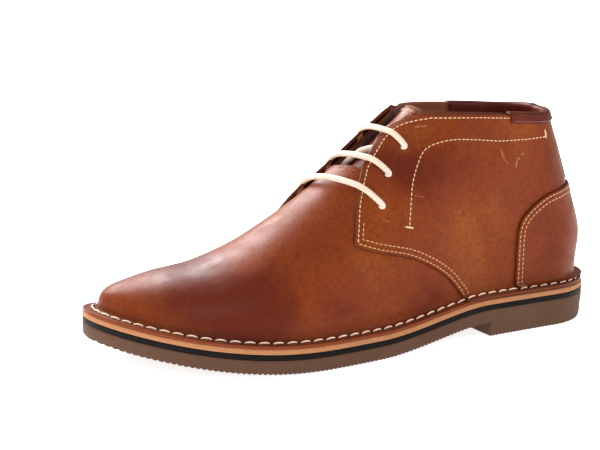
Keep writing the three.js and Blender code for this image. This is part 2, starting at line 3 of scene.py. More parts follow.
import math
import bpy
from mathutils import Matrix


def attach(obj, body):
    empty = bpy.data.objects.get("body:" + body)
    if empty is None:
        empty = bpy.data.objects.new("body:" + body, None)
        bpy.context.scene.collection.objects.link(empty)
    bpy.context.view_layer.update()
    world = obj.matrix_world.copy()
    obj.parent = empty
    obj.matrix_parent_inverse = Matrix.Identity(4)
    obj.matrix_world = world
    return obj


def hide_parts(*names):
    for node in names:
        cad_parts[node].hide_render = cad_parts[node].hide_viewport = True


bl_info = {
    "name": "Chukka Boot",
    "version": (1, 0, 0),
    "blender": (4, 5, 0),
    "location": "3D View > Sidebar > Boot",
    "description": "Makes a left chukka boot, panel by panel, over its packed frame",
    "category": "Object",
}

import bpy
import numpy as np
from mathutils import Vector

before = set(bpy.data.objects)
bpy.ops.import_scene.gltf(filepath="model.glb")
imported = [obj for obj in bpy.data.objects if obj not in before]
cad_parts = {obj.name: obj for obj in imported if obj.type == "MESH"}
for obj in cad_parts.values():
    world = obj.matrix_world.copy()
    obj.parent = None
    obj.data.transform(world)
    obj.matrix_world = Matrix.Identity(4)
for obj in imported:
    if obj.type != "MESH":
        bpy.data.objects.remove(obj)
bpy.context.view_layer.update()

# Plan of the sole: along as a share of its length from the heel, half width and sideways swing as
# shares of the ball width.
SOLE_PLAN = [
    (0.0, 0, 0),
    (0.03, 0.226, 0),
    (0.08, 0.32, 0.005),
    (0.15, 0.34, 0.015),
    (0.22, 0.346, 0.026),
    (0.3, 0.355, 0.038),
    (0.4, 0.376, 0.062),
    (0.5, 0.412, 0.071),
    (0.6, 0.452, 0.073),
    (0.68, 0.483, 0.057),
    (0.74, 0.49, 0.035),
    (0.8, 0.478, -0.005),
    (0.86, 0.43, -0.045),
    (0.92, 0.337, -0.088),
    (0.97, 0.208, -0.125),
    (1.0, 0, -0.144),
]
# Sections of the upper: along, ridge (share of the instep rise), wall, crown, bulge and shift.
SECTIONS = [
    (0.0, 1.56, 0.72, 1.05, 0.0, 0.0),
    (0.1, 1.55, 0.72, 1.05, 0.03, 0.0),
    (0.2, 1.51, 0.7, 1, 0.025, 0.01),
    (0.3, 1.36, 0.66, 0.93, 0.02, 0.02),
    (0.4, 1.12, 0.6, 0.82, 0.02, 0.03),
    (0.47, 0.985, 0.55, 0.75, 0.02, 0.04),
    (0.54, 0.822, 0.52, 0.7, 0.02, 0.045),
    (0.6, 0.69, 0.5, 0.67, 0.025, 0.045),
    (0.67, 0.55, 0.5, 0.66, 0.03, 0.04),
    (0.74, 0.422, 0.52, 0.66, 0.03, 0.035),
    (0.81, 0.322, 0.55, 0.67, 0.025, 0.025),
    (0.88, 0.258, 0.58, 0.68, 0.02, 0.01),
    (0.94, 0.184, 0.6, 0.68, 0.01, 0.0),
    (1.0, 0, 0.6, 0.66, 0.0, 0.0),
]
# The heel's back line: height as a share of the wall, lean as a share of the lean at the top.
BACK_LINE = [(0.0, 0.0), (0.12, -0.08), (0.3, -0.2), (0.5, 0.23), (0.75, 0.83), (1.0, 1.45), (1.5, 2.2)]

# Lines in side view: along as a share of the sole length, up as a share of the back height.
TOPLINE = [
    (-0.05, 1.0),
    (0.07, 0.995),
    (0.137, 0.98),
    (0.21, 0.988),
    (0.28, 0.998),
    (0.35, 1.004),
    (0.4, 1.003),
    (0.43, 0.99),
    (0.455, 0.967),
    (0.475, 0.96),
    (0.5, 1.0),
]
FACING_EDGE = [
    (0.395, 1.0),
    (0.412, 0.992),
    (0.43, 0.978),
    (0.444, 0.962),
    (0.455, 0.944),
    (0.466, 0.922),
    (0.477, 0.897),
    (0.489, 0.866),
    (0.501, 0.834),
    (0.513, 0.8),
    (0.525, 0.753),
    (0.535, 0.708),
    (0.548, 0.64),
    (0.558, 0.56),
    (0.566, 0.484),
]
# The inner facing's edge from above: along, and sideways as a share of the ball width. It reaches
# further forwards than the outer one.
INNER_FACING = [
    (0.36, -0.13),
    (0.4, -0.095),
    (0.423, -0.076),
    (0.47, -0.078),
    (0.53, -0.085),
    (0.575, -0.092),
    (0.594, -0.1),
    (0.615, -0.14),
    (0.634, -0.2),
    (0.66, -0.29),
]
QUARTER_SEAM = [
    (0.566, 0.484),
    (0.545, 0.465),
    (0.518, 0.444),
    (0.486, 0.426),
    (0.452, 0.404),
    (0.411, 0.357),
    (0.374, 0.301),
    (0.348, 0.239),
    (0.33, 0.17),
    (0.322, 0.0),
]
COUNTER_EDGE = [
    (-0.05, 0.655),
    (0.03, 0.653),
    (0.074, 0.645),
    (0.115, 0.629),
    (0.145, 0.606),
    (0.182, 0.55),
    (0.2, 0.5),
    (0.207, 0.44),
    (0.209, 0.3),
    (0.21, 0.0),
]
TONGUE_EDGE = [
    (0.375, 0.7),
    (0.376, 0.95),
    (0.386, 1.01),
    (0.41, 1.042),
    (0.44, 1.055),
    (0.59, 1.055),
    (0.59, 0.6),
]
QUARTER_TRIM = [
    (0.454, 0.536),
    (0.448, 0.624),
    (0.438, 0.723),
    (0.423, 0.801),
    (0.408, 0.853),
    (0.386, 0.88),
    (0.35, 0.894),
    (0.302, 0.888),
    (0.243, 0.874),
    (0.183, 0.874),
    (0.165, 0.876),
    (0.14, 0.879),
]
EYELETS = [(0.503, 0.639), (0.48, 0.766), (0.441, 0.875)]
# The inner eyelets: along and the share of the way from the crown to the foot.
INNER_EYELETS = [(0.584, -0.33), (0.527, -0.3), (0.462, -0.27)]
# The throat's rim from above: along before the slant of FACING_SLANT, then its outer and inner edge
# as shares of the ball width.
THROAT = [
    (0.385, 0.1, -0.05),
    (0.4, 0.12, -0.06),
    (0.42, 0.1, -0.07),
    (0.438, 0.08, -0.076),
    (0.448, 0.072, -0.077),
    (0.459, 0.078, -0.078),
    (0.471, 0.096, -0.079),
    (0.484, 0.116, -0.08),
    (0.496, 0.136, -0.082),
    (0.509, 0.158, -0.084),
    (0.514, 0.146, -0.085),
    (0.52, 0.093, -0.085),
    (0.524, 0.05, -0.08),
    (0.527, 0.0, -0.05),
]
# Soft folds of the leather: two ends as (along, up), width and height in millimetres.
FOLDS = [
    ((0.6, 0.43), (0.5, 0.2), 9.0, 0.8),
    ((0.545, 0.4), (0.47, 0.22), 8.0, -0.7),
    ((0.655, 0.38), (0.57, 0.17), 9.0, -0.6),
    ((0.72, 0.31), (0.66, 0.16), 10.0, 0.45),
    ((0.8, 0.22), (0.72, 0.16), 9.0, -0.45),
    ((0.86, 0.17), (0.8, 0.155), 6.0, 0.35),
    ((0.46, 0.62), (0.4, 0.4), 10.0, 0.5),
    ((0.38, 0.75), (0.28, 0.45), 14.0, -0.6),
    ((0.3, 0.35), (0.24, 0.2), 9.0, -0.5),
    ((0.22, 0.82), (0.3, 0.6), 13.0, 0.5),
]
# Darker, redder patches (tone below nought) and orange ones (above): along, up, radius in mm, tone.
PATCHES = [
    (0.9, 0.2, 14, 0.2),
    (0.84, 0.3, 15, -0.8),
    (0.93, 0.24, 12, -0.25),
    (0.79, 0.23, 16, -0.75),
    (0.72, 0.25, 18, -0.6),
    (0.66, 0.3, 13, 0.45),
    (0.6, 0.25, 15, -0.75),
    (0.58, 0.38, 12, 0.55),
    (0.5, 0.3, 14, 0.4),
    (0.4, 0.2, 13, -0.5),
    (0.47, 0.8, 9, -0.8),
    (0.49, 0.6, 12, 0.5),
    (0.43, 0.93, 9, 0.45),
    (0.4, 0.74, 14, -0.65),
    (0.3, 0.8, 16, -0.2),
    (0.33, 0.55, 17, 0.5),
    (0.27, 0.4, 16, 0.2),
    (0.3, 0.22, 14, 0.35),
    (0.2, 0.93, 12, 0.45),
    (0.12, 0.75, 15, -0.25),
    (0.1, 0.35, 18, -0.35),
    (0.22, 0.25, 9, -0.3),
]
# Light scratches on the quarter in side view, each as three points.
SCRATCHES = [
    ((0.247, 0.84), (0.241, 0.8), (0.233, 0.775)),
    ((0.195, 0.81), (0.208, 0.785), (0.213, 0.75)),
    ((0.396, 0.955), (0.405, 0.953), (0.414, 0.95)),
    ((0.352, 0.585), (0.344, 0.577), (0.338, 0.57)),
    ((0.42, 0.66), (0.428, 0.663), (0.436, 0.668)),
    ((0.505, 0.58), (0.497, 0.573), (0.49, 0.568)),
]

# Lengths are in millimetres from here on. A pair named RAMP is where a change starts along the
# sole and how long it takes, as shares of the sole's length.
THOUSAND = 1000.0
FAR = 300.0
LAYER_GAP = 0.3
HEEL_TAPER = 1.4
TREAD_FLAT = (0.53, 0.62)
LEAN_REACH = 0.45
LEAN_FADE = 1.5
FLANGE_SET_IN = 0.6
FLANGE_SHARE = 0.1
FLANGE_SPAN = 5.0
FILLET = 2.4
OVERLAY_GAP = 0.3
EDGE_ROUND = 0.55
# The throat's table lies FACING_SLANT mm further forwards for each mm that x is under FACING_X.
FACING_SLANT = 0.1
FACING_X = 28.0
# Where the inner side differs from the mirrored outer one.
SPLIT_X = 3.0
INNER_FORWARD = 20.7
INNER_UP = 9.4
INNER_SEAM_REACH = 70.0
INNER_TOP_FORWARD = 13.0
INNER_TOP_RAMP = (0.33, 0.09)
INNER_LIFT = 2.6
INNER_LIFT_FADE = 7.0
LIFT_START_RAMP = (0.38, 0.06)
LIFT_STOP_RAMP = (0.645, -0.05)
INNER_RAISE = 2.0
RAISE_REACH = 60.0
RAISE_SIDE = 5.0
OUTER_BINDING = -5.0
INNER_BINDING = 6.0
BINDING_STATIONS = 181
# Small steps for slopes, and how often a search is repeated.
STEP = 1e-4
NORMAL_STEP = 1e-3
RISE_STEP = 0.01
FOOT_ROUNDS = 40
TOPLINE_ROUNDS = 34
LOCATE_ROUNDS = 30
TRIM_ROUNDS = 3
LOCATE_MOVE = 0.1
LOCATE_LOWEST = 0.02


def shade(number):
    """A colour written as 0xRRGGBB, in the scene's linear values."""
    parts = [(number >> shift & 255) / 255 for shift in (16, 8, 0)]
    return tuple(p / 12.92 if p <= 0.04045 else ((p + 0.055) / 1.055) ** 2.4 for p in parts)


def length(name, metres, description):
    return bpy.props.FloatProperty(
        name=name, description=description, default=metres, min=0.0, unit="LENGTH", precision=4
    )


def colour(name, number, description):
    return bpy.props.FloatVectorProperty(
        name=name, description=description, default=shade(number), size=3, min=0, max=1, subtype="COLOR"
    )


class BootSizes(bpy.types.PropertyGroup):
    """Sizes of the boot."""

    sole_length: length("Sole length", 0.304, "Length of the sole from heel to toe")
    ball_width: length("Ball width", 0.106, "Width that the sole's plan is drawn in")
    heel_end: length("Heel end radius", 0.036, "Radius of the sole's plan at the heel")
    toe_end: length("Toe end radius", 0.025, "Radius of the sole's plan at the toe")
    heel_length: length("Heel length", 0.084, "Length of the heel block")
    heel_lift: length("Heel lift", 0.0085, "Height of the sole sheet over the floor at the heel")
    toe_spring: length("Toe spring", 0.0145, "Height of the toe over the floor")
    outsole_thick: length("Outsole", 0.0075, "Thickness of the rubber sheet")
    rand_thick: length("Rand", 0.0027, "Thickness of the dark layer")
    midsole_thick: length("Midsole", 0.0023, "Thickness of the tan layer")
    flange_width: length("Flange width", 0.0082, "How far the upper turns out over the sole")
    flange_thick: length("Flange", 0.002, "Thickness of the turned out leather")
    wall: length("Vamp leather", 0.002, "Thickness of vamp and lining together")
    quarter_step: length("Quarter step", 0.0011, "How far the quarters stand over the vamp")
    overlay_thick: length("Overlay", 0.0013, "Thickness of counter and backstay")
    back_height: length("Back height", 0.127, "Height of the collar at the heel")
    instep_rise: length("Instep rise", 0.1, "Height that the sections are drawn in")
    toe_nose: length("Toe nose radius", 0.013, "Radius of the toe in side view")
    top_lean: length("Top lean", 0.015, "How far the collar leans forwards at the heel")
    binding_outside: length("Binding outside", 0.005, "Depth of the binding on the outside")
    binding_inside: length("Binding inside", 0.013, "Depth of the binding on the inside")
    binding_length: length("Binding length", 0.063, "How far the binding reaches from the heel")
    backstay_half: length("Backstay half width", 0.009, "Half the width of the back strip")
    tongue_half: length("Tongue half width", 0.026, "Half the width of the tongue")
    tongue_thick: length("Tongue", 0.002, "Thickness of the tongue")
    insole_thick: length("Insole", 0.0035, "Thickness of the sock on the inside floor")
    lace_diameter: length("Lace", 0.003, "Diameter of the cord")
    eyelet_diameter: length("Eyelets", 0.0048, "Diameter of the punched holes")
    stitch_pitch: length("Stitch", 0.0027, "Distance from stitch to stitch on the seams")
    welt_pitch: length("Flange stitch", 0.0074, "Distance from stitch to stitch on the flange")


class BootColours(bpy.types.PropertyGroup):
    """Colours of the boot."""

    leather: colour("Leather", 0x753211, "Main colour of the leather")
    leather_orange: colour("Leather, orange", 0x8B4613, "Lighter patches of the leather")
    leather_red: colour("Leather, red", 0x541A0C, "Burnished patches of the leather")
    # Dark edges of the leather; the same colour is also painted shade where the wall meets the flange.
    leather_edge_and_shade: colour("Leather edge", 0x2C0F08, "Edges and creases of the leather")
    binding: colour("Binding", 0x5A2018, "Collar binding")
    lining: colour("Lining", 0x843F18, "Inside of the boot")
    flange: colour("Flange", 0x803C1C, "Leather turned out over the sole")
    midsole: colour("Midsole", 0xA87048, "Raw edge of the tan layer")
    rand: colour("Rand", 0x0B0606, "Dark rubber layer")
    rubber: colour("Rubber", 0x563C2D, "Outsole")
    lace: colour("Lace", 0xE8CDBA, "Waxed cord")
    thread_light: colour("Light thread", 0xDDB88A, "Thread of the top rows")
    thread_tan: colour("Tan thread", 0xC8935F, "Thread of the double rows")
    thread_dark: colour("Dark thread", 0x8A4A38, "Thread of the binding")
    thread_welt: colour("Flange thread", 0xFFDDBE, "Thick thread on the flange")


class Curve:
    """A smooth value between knots, whose slopes come from the neighbouring knots."""

    def __init__(self, places, values):
        self.places = np.array(places, float)
        self.values = np.array(values, float)
        last = len(places) - 1
        before = np.maximum(np.arange(last + 1) - 1, 0)
        after = np.minimum(np.arange(last + 1) + 1, last)
        rise = self.values[after] - self.values[before]
        self.slopes = rise / (self.places[after] - self.places[before])

    def __call__(self, place):
        at = np.asarray(place, float)
        i = np.clip(np.searchsorted(self.places, at) - 1, 0, len(self.places) - 2)
        span = self.places[i + 1] - self.places[i]
        t = np.clip((at - self.places[i]) / span, 0, 1)
        t2, t3 = t * t, t * t * t
        return (
            (2 * t3 - 3 * t2 + 1) * self.values[i]
            + (t3 - 2 * t2 + t) * span * self.slopes[i]
            + (3 * t2 - 2 * t3) * self.values[i + 1]
            + (t3 - t2) * span * self.slopes[i + 1]
        )


def smooth_step(t):
    c = np.clip(t, 0, 1)
    return c * c * (3 - 2 * c)


def ramp(value, start, width):
    """Rises softly from 0 to 1 over width from start; a width under nought falls to 0 at start."""
    return smooth_step((value - start) / width)


def spline(points, count):
    """Evenly counted points on a smooth line through the given ones."""
    knots = np.array(points, float)
    ends = np.vstack([2 * knots[0] - knots[1], knots, 2 * knots[-1] - knots[-2]])
    at = np.linspace(0, len(knots) - 1, count)
    i = np.minimum(at.astype(int), len(knots) - 2)
    t = (at - i)[:, None]
    a, b, c, d = ends[i], ends[i + 1], ends[i + 2], ends[i + 3]
    curve = 2 * b + (c - a) * t + (2 * a - 5 * b + 4 * c - d) * t**2 + (3 * b - a - 3 * c + d) * t**3
    return curve / 2


def side_of(points, outline):
    """Distance of 2-D points from a closed outline, positive inside it."""
    starts = np.array(outline, float)
    ends = np.roll(starts, -1, axis=0)
    flat = points.reshape(-1, 2)
    result = np.full(len(flat), FAR)
    crossings = np.zeros(len(flat), int)
    for start, end in zip(starts, ends):
        run = end - start
        size = max(run @ run, 1e-9)
        t = np.clip(((flat - start) @ run) / size, 0, 1)
        away = flat - start - t[:, None] * run
        result = np.minimum(result, np.hypot(away[:, 0], away[:, 1]))
        above = (start[1] > flat[:, 1]) != (end[1] > flat[:, 1])
        if run[1] != 0:
            meets = start[0] + (flat[:, 1] - start[1]) * run[0] / run[1]
            crossings += above & (flat[:, 0] < meets)
    sign = np.where(crossings % 2 == 1, 1, -1)
    return (result * sign).reshape(points.shape[:-1])


class Form:
    """The boot's surfaces in millimetres, from the sizes and the tables of shares."""

    def __init__(self, sizes):
        for name in BootSizes.__annotations__:
            setattr(self, name, getattr(sizes, name) * THOUSAND)
        along = [row[0] for row in SOLE_PLAN]
        self.swing = Curve(along, [row[2] * self.ball_width for row in SOLE_PLAN])
        self.fullness = Curve(along, [self.plan_fullness(row) for row in SOLE_PLAN])
        along = [row[0] for row in SECTIONS]
        self.ridge = Curve(along, [self.ridge_fullness(row) for row in SECTIONS])
        self.columns = [Curve(along, [row[k] for row in SECTIONS]) for k in (2, 3, 4, 5)]
        self.lean = Curve([row[0] for row in BACK_LINE], [row[1] for row in BACK_LINE])
        self.sole_depth = self.outsole_thick + self.rand_thick + self.midsole_thick + 3 * LAYER_GAP
        phi = np.linspace(0, math.pi, 400)
        self.middle = (self.raw_edge(phi, 1)[0].max() + self.raw_edge(phi, -1)[0].min()) / 2
        self.quarter_face = self.wall + self.quarter_step
        self.overlay_face = self.quarter_face + OVERLAY_GAP
        self.seats = []
        self.facing = Curve([row[0] for row in INNER_FACING], [row[1] for row in INNER_FACING])
        self.foot_phi = phi
        self.foot_tau = self.find_foot(phi)

    def plan_fullness(self, row):
        """Half width over the sine of the station's angle, so that both ends come out round."""
        if row[0] == 0:
            return math.sqrt(self.heel_end * self.sole_length / 2)
        if row[0] == 1:
            return math.sqrt(self.toe_end * self.sole_length / 2)
        return row[1] * self.ball_width / (2 * math.sqrt(row[0] * (1 - row[0])))

    def ridge_fullness(self, row):
        if row[0] == 1:
            return math.sqrt(2 * self.toe_nose * self.sole_length)
        return row[1] * self.instep_rise / math.sqrt(1 - row[0])

    def raw_edge(self, phi, side):
        along = (1 - np.cos(phi)) / 2
        return self.swing(along) + side * self.fullness(along) * np.sin(phi), along * self.sole_length

    def edge(self, phi, side, inset):
        """The sole's edge moved square to itself, into the sole by inset: x and s."""
        x, s = self.raw_edge(phi, side)
        x_before, s_before = self.raw_edge(phi - STEP, side)
        x_after, s_after = self.raw_edge(phi + STEP, side)
        dx, ds = x_after - x_before, s_after - s_before
        size = np.hypot(dx, ds)
        return x - inset * side * ds / size, s + inset * side * dx / size

    def sheet(self, s):
        """Height of the sole sheet's underside."""
        start, end = (share * self.sole_length for share in TREAD_FLAT)
        lift = self.heel_lift * smooth_step((start - s) / (start - self.heel_length))
        spring = np.maximum(0, (s - end) / (self.sole_length - end))
        return lift + self.toe_spring * spring * spring

    def seat(self, s):
        return self.sheet(s) + self.sole_depth

    def crown_rise(self, along):
        return self.ridge(along) * np.sqrt(np.maximum(0, 1 - along))

    def rise(self, along, grow):
        before = self.crown_rise(along - RISE_STEP)
        slope = (before - self.crown_rise(along)) / (RISE_STEP * self.sole_length)
        return self.crown_rise(along) + grow * np.hypot(1, np.clip(slope, 0, 1))

    def skin(self, phi, tau, grow):
        """x, s and z on the upper: tau is 1 at the outer feather, 0 on the crown, -1 at the inner."""
        side = np.where(tau < 0, -1.0, 1.0)
        along = (1 - np.cos(phi)) / 2
        wall, crown, bulge, shift = (column(along) for column in self.columns)
        inset = self.flange_width + self.wall - grow
        foot_x, foot_s = self.edge(phi, side, inset)
        twin_x, twin_s = self.edge(phi, -side, inset)
        crown_x = (foot_x + twin_x) / 2 - shift * self.ball_width * np.sin(phi)
        crown_s = (foot_s + twin_s) / 2
        swell = side * bulge * self.ball_width * np.sin(phi)
        t = 1 - np.abs(tau)
        b = [(1 - t) ** 3, 3 * t * (1 - t) ** 2, 3 * t * t * (1 - t), t**3]
        height = (b[1] * wall + b[2] + b[3]) * self.rise(along, grow)
        shoulder = crown_x + (foot_x - crown_x) * crown
        x = b[0] * foot_x + b[1] * (foot_x + swell) + b[2] * shoulder + b[3] * crown_x
        s = (b[0] + b[1]) * foot_s + (b[2] + b[3]) * crown_s
        fade = np.maximum(0, 1 - along / LEAN_REACH) ** LEAN_FADE
        reach = self.back_height - self.sole_depth - self.heel_lift
        leant = s + self.top_lean * self.lean(height / reach) * fade
        return np.stack([x, leant, self.seat(s) + height], -1)

    def find_foot(self, phi):
        """tau at which the wall has risen to the flange's face, for each phi."""
        along = (1 - np.cos(phi)) / 2
        wall = self.columns[0](along)
        rise = self.rise(along, self.wall)
        low, high = np.zeros_like(phi), np.ones_like(phi)
        for _ in range(FOOT_ROUNDS):
            t = (low + high) / 2
            height = (3 * t * (1 - t) ** 2 * wall + 3 * t * t * (1 - t) + t**3) * rise
            under = height < self.flange_thick
            low, high = np.where(under, t, low), np.where(under, high, t)
        return 1 - low

    def surface(self, phi, q, grow):
        """The leather: |q| runs from 0 on the crown to 1 at the foot, then out over the flange."""
        side = np.where(q < 0, -1.0, 1.0)
        tau = side * np.minimum(np.abs(q), 1) * np.interp(np.abs(phi), self.foot_phi, self.foot_tau)
        point = self.skin(phi, tau, grow)
        top = self.seat(point[..., 1]) + self.flange_thick
        share = np.clip(1 - (point[..., 2] - top) / FILLET, 0, 1)
        near, far = self.edge(phi, side, 1.0), self.edge(phi, side, 0.0)
        flare = FILLET * (1 - np.sqrt(np.maximum(0, 1 - share * share)))
        point[..., 0] += (far[0] - near[0]) * flare
        point[..., 1] += (far[1] - near[1]) * flare
        point[..., 2] += (grow - self.wall) * share**2
        out = np.maximum(np.abs(q) - 1, 0) / FLANGE_SHARE
        rim_x, rim_s = self.edge(phi, side, FLANGE_SET_IN)
        point[..., 0] += (rim_x - point[..., 0]) * out
        point[..., 1] += (rim_s - point[..., 1]) * out
        flat = self.seat(point[..., 1]) + self.flange_thick + grow - self.wall
        point[..., 2] = np.where(out > 0, flat, point[..., 2])
        return point

    def place(self, point):
        """Model space in metres: the toe points to -Y and the sole's middle is on x = 0."""
        x, s, z = point[..., 0], point[..., 1], point[..., 2]
        return np.stack([x - self.middle, self.sole_length / 2 - s, z], -1) / THOUSAND

    def side_view(self, point):
        return np.stack([point[..., 1], point[..., 2]], -1)

    def line(self, rows, count=60):
        knots = [(along * self.sole_length, up * self.back_height) for along, up in rows]
        return spline(knots, count)

    def topline_at(self, s):
        line = self.line(TOPLINE, 200)
        return np.interp(s, line[:, 0], line[:, 1])

    def raised(self, point):
        """The collar stands a little higher on the inner side."""
        ahead = smooth_step(point[..., 1] / RAISE_REACH)
        return INNER_RAISE * ahead * smooth_step((self.middle - point[..., 0]) / RAISE_SIDE)

    def binding_end(self, side):
        """How far the binding reaches from the heel: a little further on the inner side."""
        return self.binding_length + (OUTER_BINDING if side > 0 else INNER_BINDING)

    def binding_stations(self, short):
        """Angles along the binding, shortened at both ends; below nought on the outer side."""
        outer, inner = (
            math.acos(1 - 2 * (self.binding_end(side) - short) / self.sole_length) for side in (1, -1)
        )
        return np.linspace(-outer, inner, BINDING_STATIONS)

    def inner(self, point):
        """True on the inner side of the facings."""
        return point[..., 0] - self.middle < SPLIT_X

    def under_top(self, point, drop=0.0):
        """Distance under the topline lowered by drop; on the inner side it runs further forwards."""
        line = self.line(TOPLINE) - (0, drop)
        outline = [*line, (line[-1][0], FAR), (line[0][0] - FAR, FAR), (line[0][0] - FAR, line[0][1])]
        flat = self.side_view(point)
        forward = INNER_TOP_FORWARD * ramp(point[..., 1] / self.sole_length, *INNER_TOP_RAMP)
        flat[..., 0] -= forward * self.inner(point)
        flat[..., 1] -= self.raised(point)
        return -side_of(flat, outline)

    def off_throat(self, point):
        """Distance outside the throat, seen from above."""
        rows = [(row[0] * self.sole_length, row[1] * self.ball_width) for row in THROAT]
        rows += [(row[0] * self.sole_length, row[2] * self.ball_width) for row in THROAT[::-1]]
        x = point[..., 0] - self.middle
        forward = FACING_SLANT * (FACING_X - x)
        return -side_of(np.stack([point[..., 1] - forward, x], -1), rows)

    def behind_seam(self, point):
        """Distance behind the curved seam alone."""
        seam = self.line(QUARTER_SEAM)
        outline = [(-FAR, -FAR), (seam[-1][0], -FAR), *seam[::-1], (seam[0][0] + FAR, seam[0][1])]
        flat = self.side_view(point)
        share = smooth_step(point[..., 2] / INNER_SEAM_REACH) * self.inner(point)
        flat -= share[..., None] * (INNER_FORWARD, INNER_UP)
        return side_of(flat, [*outline, (FAR * 2, FAR), (-FAR, FAR)])

    def behind_facing(self, point):
        """Distance behind the facing's edge alone."""
        edge = self.line(FACING_EDGE)
        outline = [(-FAR, FAR), (-FAR, -FAR), (edge[-1][0], -FAR), *edge[::-1], (edge[0][0], FAR)]
        outer = side_of(self.side_view(point), outline)
        across = self.facing(point[..., 1] / self.sole_length) * self.ball_width
        return np.where(self.inner(point), across - point[..., 0] + self.middle, outer)

    def in_quarter(self, point):
        return np.minimum(self.behind_facing(point), self.behind_seam(point))

    def facing_lift(self, point):
        """The inner facing stands off the tongue along its edge."""
        along = point[..., 1] / self.sole_length
        ends = ramp(along, *LIFT_START_RAMP) * ramp(along, *LIFT_STOP_RAMP)
        near = np.exp(-np.maximum(self.behind_facing(point), 0) / INNER_LIFT_FADE)
        return INNER_LIFT * ends * near * self.inner(point)

    def in_counter(self, point):
        edge = self.line(COUNTER_EDGE)
        outline = [*edge, (edge[-1][0], -FAR), (-FAR, -FAR), (-FAR, edge[0][1])]
        return side_of(self.side_view(point), outline)

    def over_flange(self, point):
        return point[..., 2] - self.seat(point[..., 1]) - self.flange_thick

    def folds(self, point):
        """Height of the soft folds at a point of the side view."""
        flat = self.side_view(point)
        height = np.zeros(flat.shape[:-1])
        for start, end, width, size in FOLDS:
            a = np.array([start[0] * self.sole_length, start[1] * self.back_height])
            b = np.array([end[0] * self.sole_length, end[1] * self.back_height])
            run = b - a
            t = ((flat - a) @ run) / (run @ run)
            away = flat - a - np.clip(t, 0, 1)[..., None] * run
            height += size * np.exp(-(away**2).sum(-1) / (2 * (width / 2) ** 2))
        return height

    def tone(self, point):
        """Listed patches: -1 is burnished red, 1 is orange."""
        flat = self.side_view(point)
        tone = np.zeros(flat.shape[:-1])
        for along, up, radius, size in PATCHES:
            middle = np.array([along * self.sole_length, up * self.back_height])
            tone += size * np.exp(-((flat - middle) ** 2).sum(-1) / (2 * radius**2))
        return tone

    def scratches(self, point):
        """Distance from the nearest scratch."""
        flat = self.side_view(point)
        away = np.full(flat.shape[:-1], FAR)
        outer = point[..., 0] > self.middle
        for knots in SCRATCHES:
            line = spline([(a * self.sole_length, u * self.back_height) for a, u in knots], 7)
            for start, end in zip(line[:-1], line[1:]):
                run = end - start
                t = np.clip(((flat - start) @ run) / (run @ run), 0, 1)
                gap = flat - start - t[..., None] * run
                away = np.minimum(away, np.where(outer, np.hypot(gap[..., 0], gap[..., 1]), FAR))
        return away

    def locate(self, along, up, side, grow):
        """phi and q of the leather at a place in side view."""
        target = np.array([along * self.sole_length, up * self.back_height])
        state = np.array([math.acos(1 - 2 * along), 0.5 * side])
        for _ in range(LOCATE_ROUNDS):
            here = self.side_view(self.surface(*state, grow))
            by_phi = (self.side_view(self.surface(state[0] + STEP, state[1], grow)) - here) / STEP
            by_q = (self.side_view(self.surface(state[0], state[1] + STEP, grow)) - here) / STEP
            move = np.linalg.solve(np.stack([by_phi, by_q], -1), target - here)
            state = state + np.clip(move, -LOCATE_MOVE, LOCATE_MOVE)
            state[1] = side * min(max(side * state[1], LOCATE_LOWEST), 1.0)
        return state


ALONG_CELLS = 440
UP_CELLS = 118
FLANGE_CELLS = 9
FLANGE_OVER = 1.12
CUT_SHARES = (0.02, 0.98)
ROUND_TURNS = (22.5, 45, 67.5, 90, None)
ROW_MARGIN = 0.6
RIM_MOST = 50.0
SCRATCH_MOST = 20.0


def leather_grid():
    """phi and q of the grid over the whole upper, with the flange to both sides."""
    up = np.linspace(0, 1, UP_CELLS + 1)
    out = 1 + FLANGE_SHARE * np.linspace(0, FLANGE_OVER, FLANGE_CELLS + 1)[1:]
    half = np.concatenate([up, out])
    return np.linspace(0, math.pi, ALONG_CELLS + 1), np.concatenate([-half[:0:-1], half])


def trimmed(grid, value, line_only=False):
    """The grid's cells where value is over nought, with the cells on the border cut along it.

    Gives phi and q of the corners, the faces and the rim's edges. The first and the last column of
    the grid fold onto themselves, as the two sides of the boot meet there. With line_only the
    cells inside are left out, and only the rim comes back.
    """
    phis, qs = grid
    n, m = len(phis), len(qs)
    ids = np.arange(n * m).reshape(n, m)
    ids[0] = np.maximum(ids[0], ids[0][::-1])
    ids[-1] = np.maximum(ids[-1], ids[-1][::-1])
    raw = np.arange(n * m).reshape(n, m)
    inside = value > 0

    def corners(array):
        cells = [array[:-1, :-1], array[1:, :-1], array[1:, 1:], array[:-1, 1:]]
        return np.stack(cells, -1).reshape(-1, 4)

    known, local, within = corners(ids), corners(raw), corners(inside)
    full = within.all(1)
    mixed = within.any(1) & ~full
    flat = value.ravel()
    spots = np.stack(np.meshgrid(phis, qs, indexing="ij"), -1).reshape(-1, 2)
    keys, params = {}, []

    def index(key, spot):
        if key not in keys:
            keys[key] = len(params)
            params.append(spot)
        return keys[key]

    faces, rim = [], []
    if not line_only:
        used, back = np.unique(known[full], return_inverse=True)
        keys.update(zip(used.tolist(), range(len(used))))
        params.extend(spots[used])
        faces = [tuple(face) for face in back.reshape(-1, 4).tolist()]
    for cell, here in zip(known[mixed].tolist(), local[mixed].tolist()):
        face, cuts = [], []
        for k in range(4):
            a, b = here[k], here[(k + 1) % 4]
            if flat[a] > 0:
                face.append(index(cell[k], spots[cell[k]]))
            if (flat[a] > 0) != (flat[b] > 0):
                t = np.clip(flat[a] / (flat[a] - flat[b]), *CUT_SHARES)
                pair = (cell[k], cell[(k + 1) % 4])
                found = index((min(pair), max(pair)), spots[a] + (spots[b] - spots[a]) * t)
                face.append(found)
                cuts.append((found, flat[a] > 0))
        if len(face) > 2:
            faces.append(tuple(face))
            for (one, leaves), (two, _) in zip(cuts, cuts[1:] + cuts[:1]):
                if leaves:
                    rim.append((one, two))
    return np.array(params), faces, rim


